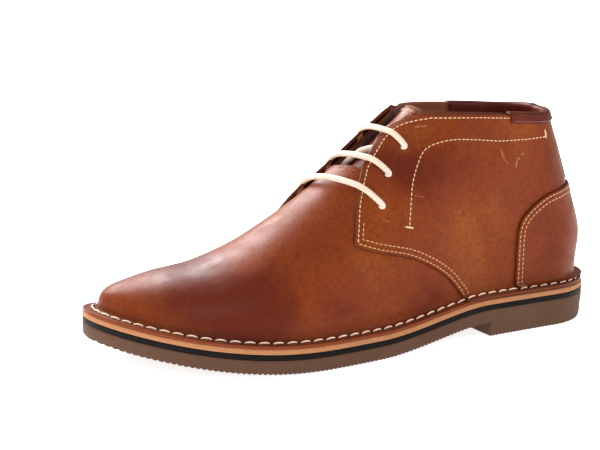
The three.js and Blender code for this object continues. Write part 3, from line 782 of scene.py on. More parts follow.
def chains(edges):
    """Edges joined end to end into lines of corners; a closed line ends where it starts."""
    following = dict(edges)
    ends = set(following.values())
    lines = []
    starts = [a for a in following if a not in ends]
    while following:
        start = starts.pop() if starts else next(iter(following))
        line = [start]
        while line[-1] in following:
            line.append(following.pop(line[-1]))
        lines.append(line)
    return lines


def mesh_object(name, points, faces, parts=None, smooth=True):
    """A mesh in metres with number attributes on its corners."""
    mesh = bpy.data.meshes.new(name)
    mesh.from_pydata([tuple(p) for p in points], [], faces)
    mesh.validate()
    for key, values in (parts or {}).items():
        layer = mesh.attributes.new(key, "FLOAT", "POINT")
        layer.data.foreach_set("value", np.asarray(values, np.float32))
    mesh.polygons.foreach_set("use_smooth", [smooth] * len(mesh.polygons))
    obj = bpy.data.objects.new(name, mesh)
    bpy.context.scene.collection.objects.link(obj)
    return obj


def dress(obj, material, nodes=()):
    """Gives a piece its material and body, and lets it stand for CAD nodes."""
    obj.data.materials.append(material)
    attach(obj, "root")
    if nodes:
        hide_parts(*nodes)


class Hide:
    """Leather cut to a field: the field gives the distance inside the panel's outline."""

    def __init__(self, form, field, top, foot, grid=None, surface=None, relief=None):
        self.form, self.field, self.top, self.foot = form, field, top, foot
        self.grid = grid or leather_grid()
        self.surface = surface or form.surface
        self.relief = relief or (lambda point: 0.0)

    def at(self, params, drop=0.0):
        """Points on the panel's face, lowered by drop."""
        phi, q = params[..., 0], params[..., 1]
        plain = self.surface(phi, q, self.top)
        return self.surface(phi, q, self.top - drop + self.relief(plain))

    def value(self, params):
        return self.field(self.surface(params[..., 0], params[..., 1], self.top), params[..., 1])

    def whole(self):
        phi, q = np.meshgrid(*self.grid, indexing="ij")
        return np.stack([phi, q], -1)

    def towards(self, params, inset):
        """Corners moved square to the outline until they lie inset inside it."""
        for _ in range(TRIM_ROUNDS):
            here = self.surface(params[:, 0], params[:, 1], self.top)
            by_phi = self.surface(params[:, 0] + STEP, params[:, 1], self.top) - here
            by_q = self.surface(params[:, 0], params[:, 1] + STEP, self.top) - here
            value = self.value(params)
            slope = np.stack(
                [self.value(params + (STEP, 0)) - value, self.value(params + (0, STEP)) - value], -1
            )
            one, two, both = (by_phi**2).sum(-1), (by_q**2).sum(-1), (by_phi * by_q).sum(-1)
            size = np.maximum(one * two - both**2, 1e-18)
            move = np.stack(
                [two * slope[:, 0] - both * slope[:, 1], one * slope[:, 1] - both * slope[:, 0]], -1
            )
            move /= size[:, None]
            gain = np.maximum((move * slope).sum(-1), 1e-9)
            far = np.clip((inset - value) / gain, -1 / np.sqrt(gain), 1 / np.sqrt(gain))
            params = params + move * far[:, None] * STEP
        return params

    def mesh(self, name, rounding=EDGE_ROUND, inwards=False):
        """The panel with a rounded rim: rings of corners follow its outline down to the foot."""
        whole = self.whole()
        params, faces, rim = trimmed(self.grid, self.value(whole) - rounding)
        points = [self.at(params)]
        corners = sorted({a for edge in rim for a in edge})
        place = {a: k for k, a in enumerate(corners)}
        ring = list(corners)
        base = params[corners]
        spots = [params]
        direction = -1 if inwards else 1
        for turn in ROUND_TURNS:
            angle = math.radians(turn or 90)
            moved = self.towards(base, rounding * (1 - math.sin(angle)))
            drop = rounding * (1 - math.cos(angle)) if turn else self.top - self.foot
            points.append(self.at(moved, direction * drop if turn else drop))
            spots.append(moved)
            start = sum(len(p) for p in points[:-1])
            for a, b in rim:
                one, two = ring[place[a]], ring[place[b]]
                faces.append((two, one, start + place[a], start + place[b]))
            ring = list(range(start, start + len(corners)))
        points, spots = np.vstack(points), np.vstack(spots)
        if inwards:
            faces = [face[::-1] for face in faces]
        return self.finish(name, points, spots, faces)

    def finish(self, name, points, spots, faces):
        form = self.form
        parts = {
            "rim": np.clip(self.value(spots), 0, RIM_MOST),
            "tone": form.tone(points),
            "scratch": np.clip(form.scratches(points), 0, SCRATCH_MOST),
            "low": form.over_flange(points),
        }
        obj = mesh_object(name, form.place(points), faces, parts)
        if (obj.data.polygons[0].normal @ self.outwards(params_of(spots, faces))) < 0:
            obj.data.flip_normals()
        return obj

    def outwards(self, param):
        out = self.surface(*param, self.top + 1) - self.surface(*param, self.top)
        turned = Vector((out[0], -out[1], out[2]))
        return turned if self.foot < self.top else -turned

    def rows(self, line, inset, where=None):
        """Lines on the face where line is inset, kept where the condition holds: points and normals."""
        whole = self.whole()
        value = line(self.surface(whole[..., 0], whole[..., 1], self.top)) - inset
        params, _, rim = trimmed(self.grid, value, True)
        runs = []
        for chain in chains(rim):
            spots = params[chain]
            keep = self.value(spots) > ROW_MARGIN
            if where is not None:
                keep &= where(self.surface(spots[:, 0], spots[:, 1], self.top))
            breaks = np.flatnonzero(np.diff(keep.astype(int))) + 1
            for part, kept in zip(np.split(spots, breaks), np.split(keep, breaks)):
                if kept[0] and len(part) > 3:
                    runs.append((self.at(part), self.normals(part)))
        return runs

    def normals(self, params):
        phi, q = params[..., 0], params[..., 1]
        step = NORMAL_STEP
        by_phi = self.surface(phi + step, q, self.top) - self.surface(phi - step, q, self.top)
        by_q = self.surface(phi, q + step, self.top) - self.surface(phi, q - step, self.top)
        normal = np.cross(by_q, by_phi)
        out = self.surface(phi, q, self.top + 1) - self.surface(phi, q, self.top)
        normal *= np.sign((normal * out).sum(-1))[..., None]
        return normal / np.linalg.norm(normal, axis=-1)[..., None]


def params_of(spots, faces):
    return spots[list(faces[0])].mean(0)


STITCH_HEADING = 0.3


def evened(points, normals, pitch):
    """Middles, directions and normals of stitches set out evenly along a line."""
    gaps = np.linalg.norm(np.diff(points, axis=0), axis=1)
    run = np.concatenate([[0], np.cumsum(gaps)])
    count = max(int(round(run[-1] / pitch)), 1)
    at = (np.arange(count) + 0.5) * run[-1] / count

    def sample(values, place):
        return np.stack([np.interp(place, run, values[:, k]) for k in range(3)], -1)

    reach = STITCH_HEADING * pitch
    along = sample(points, at + reach) - sample(points, at - reach)
    size = np.linalg.norm(along, axis=1)[:, None]
    return sample(points, at), along / np.maximum(size, 1e-9), sample(normals, at)


STITCH_RINGS = 7
STITCH_SIDES = 6
STITCH_BLUNT = 3.2
STITCH_TIP = 0.02
STITCH_SUNK = 0.28
STITCH_FILL = 0.84


def stitch_mesh(name, form, runs, pitch, size, arch, slant=0.0, fill=STITCH_FILL):
    """Thread as one mesh: each stitch is a short rounded cord that rises from its holes."""
    middles, alongs, ups = [], [], []
    for points, normals in runs:
        middle, along, up = evened(points, normals, pitch)
        middles.append(middle)
        alongs.append(along)
        ups.append(up)
    middle, along, up = np.vstack(middles), np.vstack(alongs), np.vstack(ups)
    up /= np.linalg.norm(up, axis=1)[:, None]
    across = np.cross(along, up)
    across /= np.linalg.norm(across, axis=1)[:, None]
    turned = along * math.cos(slant) + across * math.sin(slant)
    across = np.cross(turned, up)
    t = np.linspace(-1, 1, STITCH_RINGS)
    thick = size / 2 * np.sqrt(np.maximum(1 - np.abs(t) ** STITCH_BLUNT, STITCH_TIP))
    height = arch * (1 - t * t) - STITCH_SUNK * size
    angle = 2 * math.pi * np.arange(STITCH_SIDES) / STITCH_SIDES
    centre = (
        middle[:, None]
        + turned[:, None] * (t * pitch * fill / 2)[None, :, None]
        + up[:, None] * height[None, :, None]
    )
    spoke = (
        up[:, None, None] * np.cos(angle)[None, None, :, None]
        + across[:, None, None] * np.sin(angle)[None, None, :, None]
    )
    points = centre[:, :, None] + spoke * thick[None, :, None, None]
    count, per = len(middle), STITCH_RINGS * STITCH_SIDES
    template = []
    for r in range(STITCH_RINGS - 1):
        for k in range(STITCH_SIDES):
            a, b = r * STITCH_SIDES + k, r * STITCH_SIDES + (k + 1) % STITCH_SIDES
            template.append((a, a + STITCH_SIDES, b + STITCH_SIDES, b))
    faces = [tuple(n * per + c for c in face) for n in range(count) for face in template]
    caps = [tuple(range(STITCH_SIDES - 1, -1, -1)), tuple(range(per - STITCH_SIDES, per))]
    faces += [tuple(n * per + c for c in cap) for n in range(count) for cap in caps]
    return mesh_object(name, form.place(points.reshape(-1, 3)), faces)


def loft(name, form, rows, closed=True, parts=None):
    """Rows of equally many points joined into a skin; each row may close on itself."""
    rows = np.asarray(rows)
    n, m = rows.shape[:2]
    faces = []
    for i in range(n - 1):
        for k in range(m if closed else m - 1):
            a, b = i * m + k, i * m + (k + 1) % m
            faces.append((a, b, b + m, a + m))
    return mesh_object(name, form.place(rows.reshape(-1, 3)), faces, parts)


SOLE_STATIONS = 300


def sole_layer(name, form, below, above, profile, inset=0.0, stations=None, taper=None):
    """A sheet of the sole: profile gives (share of the height, how far in) from below to above."""
    phis = np.linspace(0, math.pi, SOLE_STATIONS + 1) if stations is None else stations
    columns = []
    for side, steps in ((1, profile), (-1, profile[::-1])):
        for share, back in steps:
            x, s = form.edge(phis, side, inset + back)
            if taper:
                x, s = form.edge(phis, side, inset + back + taper(s) * (1 - share))
            low, high = below(s), above(s)
            columns.append(np.stack([x, s, low + (high - low) * share], -1))
    return loft(name, form, np.stack(columns, 1))


class Shader:
    """A node material put together step by step."""

    def __init__(self, name, roughness=0.5, **values):
        self.material = bpy.data.materials.new(name)
        self.material.use_nodes = True
        self.tree = self.material.node_tree
        self.body = self.tree.nodes["Principled BSDF"]
        self.body.inputs["Roughness"].default_value = roughness
        for socket, value in values.items():
            self.body.inputs[socket.replace("_", " ")].default_value = value
        self.spot = self.node("ShaderNodeTexCoord").outputs["Object"]

    def node(self, kind, **settings):
        made = self.tree.nodes.new(kind)
        for key, value in settings.items():
            setattr(made, key, value)
        return made

    def join(self, source, socket):
        if isinstance(source, (int, float, tuple)):
            socket.default_value = (*source, 1.0) if isinstance(source, tuple) else source
        else:
            self.tree.links.new(source, socket)

    def attribute(self, name):
        return self.node("ShaderNodeAttribute", attribute_name=name).outputs["Fac"]

    def noise(self, scale, detail=3.0, rough=0.55, distortion=0.0, stretch=None):
        spot = self.spot
        if stretch:
            turn = self.node("ShaderNodeMapping")
            turn.inputs["Scale"].default_value = stretch
            self.join(self.spot, turn.inputs["Vector"])
            spot = turn.outputs["Vector"]
        made = self.node("ShaderNodeTexNoise")
        made.inputs["Scale"].default_value = scale
        made.inputs["Detail"].default_value = detail
        made.inputs["Roughness"].default_value = rough
        made.inputs["Distortion"].default_value = distortion
        self.join(spot, made.inputs["Vector"])
        return made.outputs["Fac"]

    def cells(self, scale):
        made = self.node("ShaderNodeTexVoronoi")
        made.inputs["Scale"].default_value = scale
        self.join(self.spot, made.inputs["Vector"])
        return made.outputs["Distance"]

    def math(self, operation, one, two=0.0):
        made = self.node("ShaderNodeMath", operation=operation)
        self.join(one, made.inputs[0])
        self.join(two, made.inputs[1])
        return made.outputs[0]

    def span(self, value, low, high, to_low=0.0, to_high=1.0):
        made = self.node("ShaderNodeMapRange", interpolation_type="SMOOTHSTEP")
        for k, item in enumerate((value, low, high, to_low, to_high)):
            self.join(item, made.inputs[k])
        return made.outputs[0]

    def mix(self, share, one, two):
        made = self.node("ShaderNodeMix", data_type="RGBA")
        self.join(share, made.inputs[0])
        self.join(one, made.inputs[6])
        self.join(two, made.inputs[7])
        return made.outputs[2]

    def bumps(self, *layers):
        """Bump layers, each a height, a strength and a depth in metres."""
        normal = None
        for height, strength, depth in layers:
            made = self.node("ShaderNodeBump")
            made.inputs["Strength"].default_value = strength
            made.inputs["Distance"].default_value = depth
            self.join(height, made.inputs["Height"])
            if normal:
                self.join(normal, made.inputs["Normal"])
            normal = made.outputs["Normal"]
        self.join(normal, self.body.inputs["Normal"])

    def finish(self, base, roughness=None):
        self.join(base, self.body.inputs["Base Color"])
        if roughness is not None:
            self.join(roughness, self.body.inputs["Roughness"])
        return self.material


def waxed_leather(name, colours, main=None, darker=0.0):
    """Burnished pull-up leather: soft patches, fine grain, dark edges, painted shade at the foot of the
    wall and a waxy coat.
    """
    shader = Shader(name, 0.45, Coat_Weight=0.04, Coat_Roughness=0.3, Specular_IOR_Level=0.08)
    base = main or tuple(colours.leather)
    red, orange = tuple(colours.leather_red), tuple(colours.leather_orange)
    edge = tuple(colours.leather_edge_and_shade)
    cloud = shader.math("SUBTRACT", shader.noise(26, 4, 0.6, 0.6), 0.5)
    tone = shader.math("ADD", shader.attribute("tone"), shader.math("MULTIPLY", cloud, 2.1))
    warm = shader.mix(shader.span(tone, 0.0, 1.0, 0, 0.85), base, orange)
    worn = shader.mix(shader.span(tone, 0.0, -0.9, 0, 0.85), warm, red)
    mottle = shader.noise(420, 3, 0.65)
    mottled = shader.mix(shader.span(mottle, 0.42, 0.66, 0, 0.36), worn, red)
    fleck = shader.span(shader.noise(900, 2, 0.5), 0.62, 0.75, 0, 0.3)
    flecked = shader.mix(fleck, mottled, orange)
    rim = shader.attribute("rim")
    rimmed = shader.mix(shader.span(rim, 1.1, 0.2, 0, 0.5), flecked, edge)
    foot = shader.attribute("low")
    # Darker over the last few millimetres above the flange: painted shade in the corner where the wall
    # meets the flange.
    shaded = shader.mix(shader.span(foot, 2.5, 0.0, 0, 0.3), rimmed, edge)
    turned_out = shader.span(foot, 0.3, -0.8, 0, 0.8)
    shaded = shader.mix(turned_out, shaded, tuple(colours.flange))
    scratch = shader.span(shader.attribute("scratch"), 0.75, 0.1, 0, 0.55)
    scratched = shader.mix(scratch, shaded, shade(0xC98A5C))
    if darker:
        scratched = shader.mix(darker, scratched, edge)
    pores = shader.cells(950)
    grain = shader.noise(1400, 3, 0.6)
    shader.bumps(
        (shader.noise(60, 3, 0.5), 0.25, 0.0012),
        (shader.noise(240, 3, 0.6), 0.2, 0.0004),
        (pores, 0.22, 0.00018),
        (grain, 0.3, 0.00012),
    )
    gloss = shader.span(shader.noise(90, 3, 0.6), 0.3, 0.7, 0.38, 0.54)
    return shader.finish(scratched, gloss)


def thread(name, tint):
    shader = Shader(name, 0.75, Sheen_Weight=0.3)
    twist = shader.noise(1600, 2, 0.6)
    tinted = shader.mix(shader.span(twist, 0.35, 0.7, 0, 0.35), tint, tuple(0.45 * c for c in tint))
    shader.bumps((twist, 0.5, 0.0002))
    return shader.finish(tinted)


# Small dark sunk marks: painted shade standing for the needle holes between the flange stitches.
def hole_shade(name):
    shader = Shader(name, 0.9, Specular_IOR_Level=0.1)
    speck = shader.noise(900, 2)
    return shader.finish(shader.mix(speck, shade(0x140806), shade(0x2A120B)))


def suede(name, tint, dark):
    """Soft lining leather."""
    shader = Shader(name, 0.82, Sheen_Weight=0.25)
    nap = shader.noise(700, 4, 0.65)
    cloud = shader.noise(45, 3, 0.6)
    one = shader.mix(shader.span(nap, 0.35, 0.7, 0, 0.5), tint, dark)
    two = shader.mix(shader.span(cloud, 0.4, 0.7, 0, 0.35), one, dark)
    shader.bumps((cloud, 0.25, 0.0008), (nap, 0.4, 0.0002))
    return shader.finish(two)


def board(name, tint):
    """Raw cut edge of pressed leather."""
    shader = Shader(name, 0.85)
    layers = shader.noise(500, 4, 0.7, 0, (0.25, 0.25, 3.0))
    fibre = shader.noise(1500, 3, 0.7)
    one = shader.mix(shader.span(layers, 0.35, 0.7, 0, 0.5), tint, shade(0x9A5E30))
    two = shader.mix(shader.span(fibre, 0.5, 0.75, 0, 0.35), one, shade(0xE6B27E))
    shader.bumps((layers, 0.5, 0.0004), (fibre, 0.5, 0.0002))
    return shader.finish(two)


def moulded_rubber(name, tint, light, rough=0.62):
    shader = Shader(name, rough, Specular_IOR_Level=0.12)
    cloud = shader.noise(35, 4, 0.6)
    speck = shader.noise(1300, 2, 0.6)
    one = shader.mix(shader.span(cloud, 0.35, 0.7, 0, 0.4), tint, light)
    two = shader.mix(shader.span(speck, 0.55, 0.7, 0, 0.3), one, tuple(0.6 * c for c in tint))
    shader.bumps((cloud, 0.15, 0.0006), (speck, 0.3, 0.00015))
    return shader.finish(two, shader.span(cloud, 0.3, 0.7, rough, rough + 0.12))


def waxed_cord(name, tint):
    shader = Shader(name, 0.62, Sheen_Weight=0.2, Subsurface_Weight=0.08)
    run, turn = shader.attribute("run"), shader.attribute("turn")
    one = shader.math("SINE", shader.math("ADD", shader.math("MULTIPLY", run, 5.2), turn))
    two = shader.math("SINE", shader.math("SUBTRACT", shader.math("MULTIPLY", run, 5.2), turn))
    braid = shader.math("MAXIMUM", one, two)
    fuzz = shader.noise(1500, 3, 0.6)
    # Darker where the braid runs low: painted shade in the grooves between the strands.
    groove_shaded = shader.mix(shader.span(braid, 0.9, 0.1, 0, 0.25), tint, shade(0xB89878))
    soiled = shader.mix(shader.span(shader.noise(120, 3), 0.45, 0.75, 0, 0.3), groove_shaded, shade(0xD2B08C))
    shader.bumps((braid, 0.3, 0.0002), (fuzz, 0.35, 0.00015))
    return shader.finish(soiled)


HOLE_REACH = 12.0
HOLE_AXIS = 6.0
FOLD_FADE = 9.0
VAMP_UNDERLAP = 8.0
QUARTER_FOOT = 0.9
LINING_FOOT = 0.95
LINING_DOWN = 1.2
COUNTER_OFF_FLANGE = 0.4
OVERLAY_BITE = 0.3
TONGUE_CLEAR = 0.4
TONGUE_SUNK = 5.2
TONGUE_SUNK_RAMP = (0.565, -0.04)
TONGUE_RISE = 2.6
TONGUE_RISE_RAMP = (0.49, -0.07)
TONGUE_ASIDE = 3.0
TONGUE_PHI = (1.25, 1.78, 121)
TONGUE_TAU = (-0.62, 0.62, 141)
TONGUE_KNOTS = 90


def flange_reach(q):
    """Distance in from the flange's edge."""
    return (1 + FLANGE_SHARE - np.abs(q)) / FLANGE_SHARE * FLANGE_SPAN


def eyelet_seats(form):
    """phi and q of the eyelets, outer and inner, from the lowest up."""
    if not form.seats:
        for along, up in EYELETS:
            form.seats.append([form.locate(along, up, 1, form.quarter_face)])
        for pair, (along, q) in zip(form.seats, INNER_EYELETS):
            pair.append(np.array([math.acos(1 - 2 * along), q]))
    return form.seats


HOLE_SHARE = 0.68


def off_eyelets(form, point):
    """Distance outside the punched holes."""
    away = np.full(point.shape[:-1], FAR)
    for pair in eyelet_seats(form):
        for seat in pair:
            low, high = (form.surface(*seat, grow) for grow in (0.0, HOLE_AXIS))
            axis = (high - low) / np.linalg.norm(high - low)
            gap = point - low
            level = gap @ axis
            across = np.linalg.norm(gap - level[..., None] * axis, axis=-1)
            off = across - HOLE_SHARE * form.eyelet_diameter / 2
            away = np.minimum(away, np.where(np.abs(level) < HOLE_REACH, off, FAR))
    return away


def wall_relief(form):
    return lambda point: form.folds(point) * smooth_step(form.over_flange(point) / FOLD_FADE)


def vamp_hide(form):
    def field(point, q):
        ahead = np.minimum(form.off_throat(point), VAMP_UNDERLAP - form.in_quarter(point))
        return np.minimum(np.minimum(ahead, form.under_top(point)), flange_reach(q))

    return Hide(form, field, form.wall, 0.0, relief=wall_relief(form))


def quarter_hide(form):
    def field(point, q):
        cut = np.minimum(form.under_top(point), off_eyelets(form, point))
        return np.minimum(np.minimum(cut, form.in_quarter(point)), flange_reach(q))

    folds = wall_relief(form)

    def relief(point):
        return folds(point) + form.facing_lift(point)

    return Hide(form, field, form.quarter_face, QUARTER_FOOT, relief=relief)


def lining_hide(form):
    def field(point, q):
        opening = np.minimum(form.off_throat(point), form.under_top(point))
        down = form.over_flange(point) + LINING_DOWN
        return np.minimum(np.minimum(opening, off_eyelets(form, point)), down)

    phis, qs = leather_grid()
    inner = qs[np.abs(qs) <= 1 + STEP]
    return Hide(form, field, 0.0, LINING_FOOT, (phis[::2], inner[::2]), relief=wall_relief(form))


def overlay_hide(form, field):
    top = form.overlay_face + form.overlay_thick
    return Hide(form, field, top, form.quarter_face - OVERLAY_BITE, relief=wall_relief(form))


def counter_hide(form):
    def field(point, q):
        return np.minimum(form.in_counter(point), form.over_flange(point) - COUNTER_OFF_FLANGE)

    return overlay_hide(form, field)


def backstay_hide(form):
    def field(point, q):
        strip = form.backstay_half - np.abs(point[..., 0] - form.middle)
        rear = form.heel_length / 2 - point[..., 1]
        above = -form.in_counter(point) - OVERLAY_GAP
        under = form.under_top(point, form.binding_outside + OVERLAY_GAP)
        return np.minimum(np.minimum(strip, rear), np.minimum(above, under))

    return overlay_hide(form, field)


def tongue_depth(form, phi, grow):
    """How far the tongue lies under the vamp: close at its seam, deeper under the lace."""
    along = (1 - np.cos(phi)) / 2
    sunk = TONGUE_SUNK * ramp(along, *TONGUE_SUNK_RAMP) - TONGUE_RISE * ramp(along, *TONGUE_RISE_RAMP)
    return grow - TONGUE_CLEAR - sunk


def tongue_hide(form):
    def surface(phi, q, grow):
        return form.skin(phi, q, tongue_depth(form, phi, grow))

    def field(point, q):
        outline = form.line(TONGUE_EDGE, TONGUE_KNOTS)
        strip = form.tongue_half - np.abs(point[..., 0] - form.middle - TONGUE_ASIDE)
        return np.minimum(side_of(form.side_view(point), outline), strip)

    grid = (np.linspace(*TONGUE_PHI), np.linspace(*TONGUE_TAU))
    return Hide(form, field, 0.0, -form.tongue_thick, grid, surface)


def topline_spot(form, phi, side, drop, grow):
    """Points of the wall that lie drop under the collar's rim, at each station."""
    shape = np.broadcast_shapes(np.shape(phi), np.shape(drop), np.shape(grow))
    low, high = np.full(shape, TOPLINE_LOWEST), np.ones(shape)
    for _ in range(TOPLINE_ROUNDS):
        tau = (low + high) / 2
        point = form.skin(phi, side * tau, grow)
        over = point[..., 2] > form.topline_at(point[..., 1]) + form.raised(point) - drop
        low, high = np.where(over, tau, low), np.where(over, high, tau)
    return form.skin(phi, side * (low + high) / 2, grow)


# The binding's section from its outer edge over the rim to its inner edge: drop and grow shares.
BINDING_SECTION = [
    (1.0, 0.0),
    (1.0, 0.5),
    (0.95, 0.85),
    (0.85, 1.0),
    (0.6, 1.05),
    (0.3, 1.05),
    (0.0, 0.95),
]
BINDING_RIM = [(-0.9, 3.6), (-1.35, 2.5), (-1.5, 1.6), (-1.4, 0.6), (-0.9, -0.5), (-0.2, -1.1)]
BINDING_INNER = [(0.1, -1.5), (0.3, -1.5), (0.6, -1.5), (0.92, -1.5), (0.98, -1.3), (1, -0.8), (1, 0)]
TOPLINE_LOWEST = 0.15
BINDING_THICK = 1.2
BINDING_SUNK = 0.15
BINDING_BEVEL = 0.4
BINDING_ROW_SHORT = 1.5


def binding_rows(form):
    """Stations along the collar from the outer front end round the heel to the inner one."""
    face = form.overlay_face
    outside, inside = form.binding_outside, form.binding_inside
    section = [(outside * d, face + BINDING_THICK * g - BINDING_SUNK) for d, g in BINDING_SECTION]
    section += BINDING_RIM + [(inside * d, g) for d, g in BINDING_INNER]
    at = form.binding_stations(0.0)[:, None]
    drop, grow = np.array(section).T[:, None]
    rows = topline_spot(form, np.abs(at), np.where(at < 0, 1, -1), drop, grow)
    middle = rows.mean(1, keepdims=True)
    first, last = rows[0] + (0, BINDING_BEVEL, 0), rows[-1] + (0, BINDING_BEVEL, 0)
    flat_first, flat_last = (first + middle[0]) / 2, (last + middle[-1]) / 2
    return np.concatenate([[flat_first, first], rows, [last, flat_last]])


def binding_line(form, drop, grow, out):
    """A row along the binding: points, and normals on the side that out says."""
    at = form.binding_stations(BINDING_ROW_SHORT)
    points = topline_spot(form, np.abs(at), np.where(at < 0, 1, -1), drop, grow)
    normals = topline_spot(form, np.abs(at), np.where(at < 0, 1, -1), drop, grow + out) - points
    return points, normals / np.linalg.norm(normals, axis=1)[:, None]


LACE_CLEAR = 0.9
LACE_BOWS = (0.064, 0.05, 0.042)
LACE_KNOTS = (0.09, 0.28, 0.5, 0.72, 0.91)
LACE_BAR_KNOTS = (0.17, 0.34, 0.5, 0.66, 0.83)
LACE_END = 0.12
LACE_TAIL = [(-1.0, 1.0), (-0.7, 0.9)]
LACE_TAIL_TURN = (-0.8, 0.5)
LACE_SWELL = 0.6
LACE_SEAT = 0.5
LACE_INSIDE = 0.7
LACE_STEPS = 900
LACE_FULLER = 1.1
CORD_SIDES = 20
CORD_TIPS = (0.05, 0.85)
CORD_STRANDS = 3


def lace_path(form):
    """Middle line of the cord: three bars outside, crossings inside and two hidden ends."""
    radius = form.lace_diameter / 2
    over, under = form.quarter_face + radius + LACE_CLEAR, -radius - LACE_CLEAR
    seats = eyelet_seats(form)

    def knot(seat, grow, phi=0.0, q=0.0):
        return form.surface(seat[0] + phi, seat[1] + q, grow)

    def hole(seat, outwards):
        levels = [form.quarter_face + LACE_SEAT, form.wall / 2, under + LACE_INSIDE]
        levels = levels[::-1] if outwards else levels
        return [knot(seat, grow) for grow in levels]

    def run(start, end, outside, bow=0.0):
        knots = []
        for u in LACE_BAR_KNOTS if outside else LACE_KNOTS:
            swell = math.sin(math.pi * u)
            spot = start + (end - start) * u + (bow * swell, 0)
            knots.append(form.surface(*spot, over + LACE_SWELL * swell if outside else under))
        return knots

    top, low = seats[-1], seats[0]
    points = [knot(top[0], under, phi * LACE_END, q * LACE_END) for phi, q in LACE_TAIL]
    phi, q = LACE_TAIL_TURN
    points.append(form.surface(top[0][0] + phi * LACE_END, low[0][1] + q * LACE_END, under))
    for row, (near, far) in enumerate(seats):
        points += hole(near, True) + run(near, far, True, LACE_BOWS[row]) + hole(far, False)
        if row < len(seats) - 1:
            points += run(far, seats[row + 1][0], False)
    points.append(knot(top[1], under, -LACE_END, -LACE_END))
    return spline(points, LACE_STEPS)


def cord(name, form, path, radius):
    """A round cord along a path, with its run and turn kept for the braid."""
    run = np.gradient(path, axis=0)
    run /= np.linalg.norm(run, axis=1)[:, None]
    across = np.array([0.0, 0.0, 1.0])
    rows, runs, turns = [], [], []
    gone = np.concatenate([[0], np.cumsum(np.linalg.norm(np.diff(path, axis=0), axis=1))])
    angle = 2 * math.pi * np.arange(CORD_SIDES) / CORD_SIDES
    last = len(path) - 1
    for k, point in enumerate(path):
        across = across - (across @ run[k]) * run[k]
        across /= np.linalg.norm(across)
        other = np.cross(across, run[k])
        from_end = min(k, last - k)
        size = radius * (CORD_TIPS[from_end] if from_end < len(CORD_TIPS) else 1)
        spokes = np.outer(np.cos(angle), across) + np.outer(np.sin(angle), other)
        rows.append(point + size * spokes)
        runs += [gone[k]] * CORD_SIDES
        turns += list(CORD_STRANDS * angle)
    return loft(name, form, rows, True, {"run": runs, "turn": turns})


def current(context):
    return Form(context.scene.boot_sizes), context.scene.boot_colours


def main_leather(colours):
    made = bpy.data.materials.get("waxed leather")
    return made or waxed_leather("waxed leather", colours)


class BOOT_OT_upper(bpy.types.Operator):
    """Makes the vamp, the quarters and the lining"""

    bl_idname = "boot.make_upper"
    bl_label = "Make upper"

    def execute(self, context):
        form, colours = current(context)
        leather = main_leather(colours)
        dress(vamp_hide(form).mesh("vamp"), leather, ["upper"])
        dress(quarter_hide(form).mesh("quarters"), leather, ["upper"])
        inside = suede("lining leather", tuple(colours.lining), shade(0x5A2A14))
        dress(lining_hide(form).mesh("lining", 0.3, True), inside, ["upper"])
        return {"FINISHED"}


class BOOT_OT_heel(bpy.types.Operator):
    """Makes the heel counter and the backstay"""

    bl_idname = "boot.make_heel"
    bl_label = "Make counter and backstay"

    def execute(self, context):
        form, colours = current(context)
        leather = main_leather(colours)
        dress(counter_hide(form).mesh("counter"), leather, ["heel_counter"])
        dress(backstay_hide(form).mesh("back_strip"), leather, ["backstay"])
        return {"FINISHED"}


class BOOT_OT_binding(bpy.types.Operator):
    """Makes the strip folded over the collar"""

    bl_idname = "boot.make_binding"
    bl_label = "Make binding"

    def execute(self, context):
        form, colours = current(context)
        rows = binding_rows(form)
        count = rows.shape[0] * rows.shape[1]
        plain = {"rim": 5.0, "tone": 0.0, "scratch": SCRATCH_MOST, "low": SCRATCH_MOST}
        parts = {part: np.full(count, value) for part, value in plain.items()}
        obj = loft("binding", form, rows, False, parts)
        leather = waxed_leather("binding leather", colours, tuple(colours.binding), 0.25)
        dress(obj, leather, ["collar_binding"])
        return {"FINISHED"}


class BOOT_OT_tongue(bpy.types.Operator):
    """Makes the tongue behind the facings"""

    bl_idname = "boot.make_tongue"
    bl_label = "Make tongue"

    def execute(self, context):
        form, colours = current(context)
        hide = tongue_hide(form)
        leather = waxed_leather("tongue leather", colours, None, 0.15)
        dress(hide.mesh("tongue_face", 0.8), leather, ["tongue"])
        back = Hide(form, hide.field, -form.tongue_thick, -0.6, hide.grid, hide.surface)
        nap = suede("tongue back", shade(0x8A5030), shade(0x5A2A14))
        dress(back.mesh("tongue_back", 0.5, True), nap, ["tongue"])
        return {"FINISHED"}


TREAD_PITCH = 2.6
TREAD_STEPS = 8
TREAD_DEPTH = 0.7
TREAD_START_RAMP = (0.5, 0.12)
TREAD_STOP_RAMP = (1.0, -0.12)
HEEL_BREAST = (0.6, -1.2)
LAYER_BITE = 0.25
# Rims of the sole's layers: up as a share of the layer, in from its edge.
RUBBER_RIM = [(0, 0.9), (0.04, 0.35), (0.12, 0.1), (0.3, 0), (0.8, 0), (0.95, 0.1), (1, 0.4)]
LAYER_RIM = [(0, 0.45), (0.12, 0.12), (0.3, 0), (0.7, 0), (0.88, 0.12), (1, 0.45)]


def ribbed(s):
    """Depth of the tread's fine grooves at s."""
    place = np.mod(s / TREAD_PITCH, 1.0)
    return TREAD_DEPTH * ramp(place, *TREAD_START_RAMP) * ramp(place, *TREAD_STOP_RAMP)


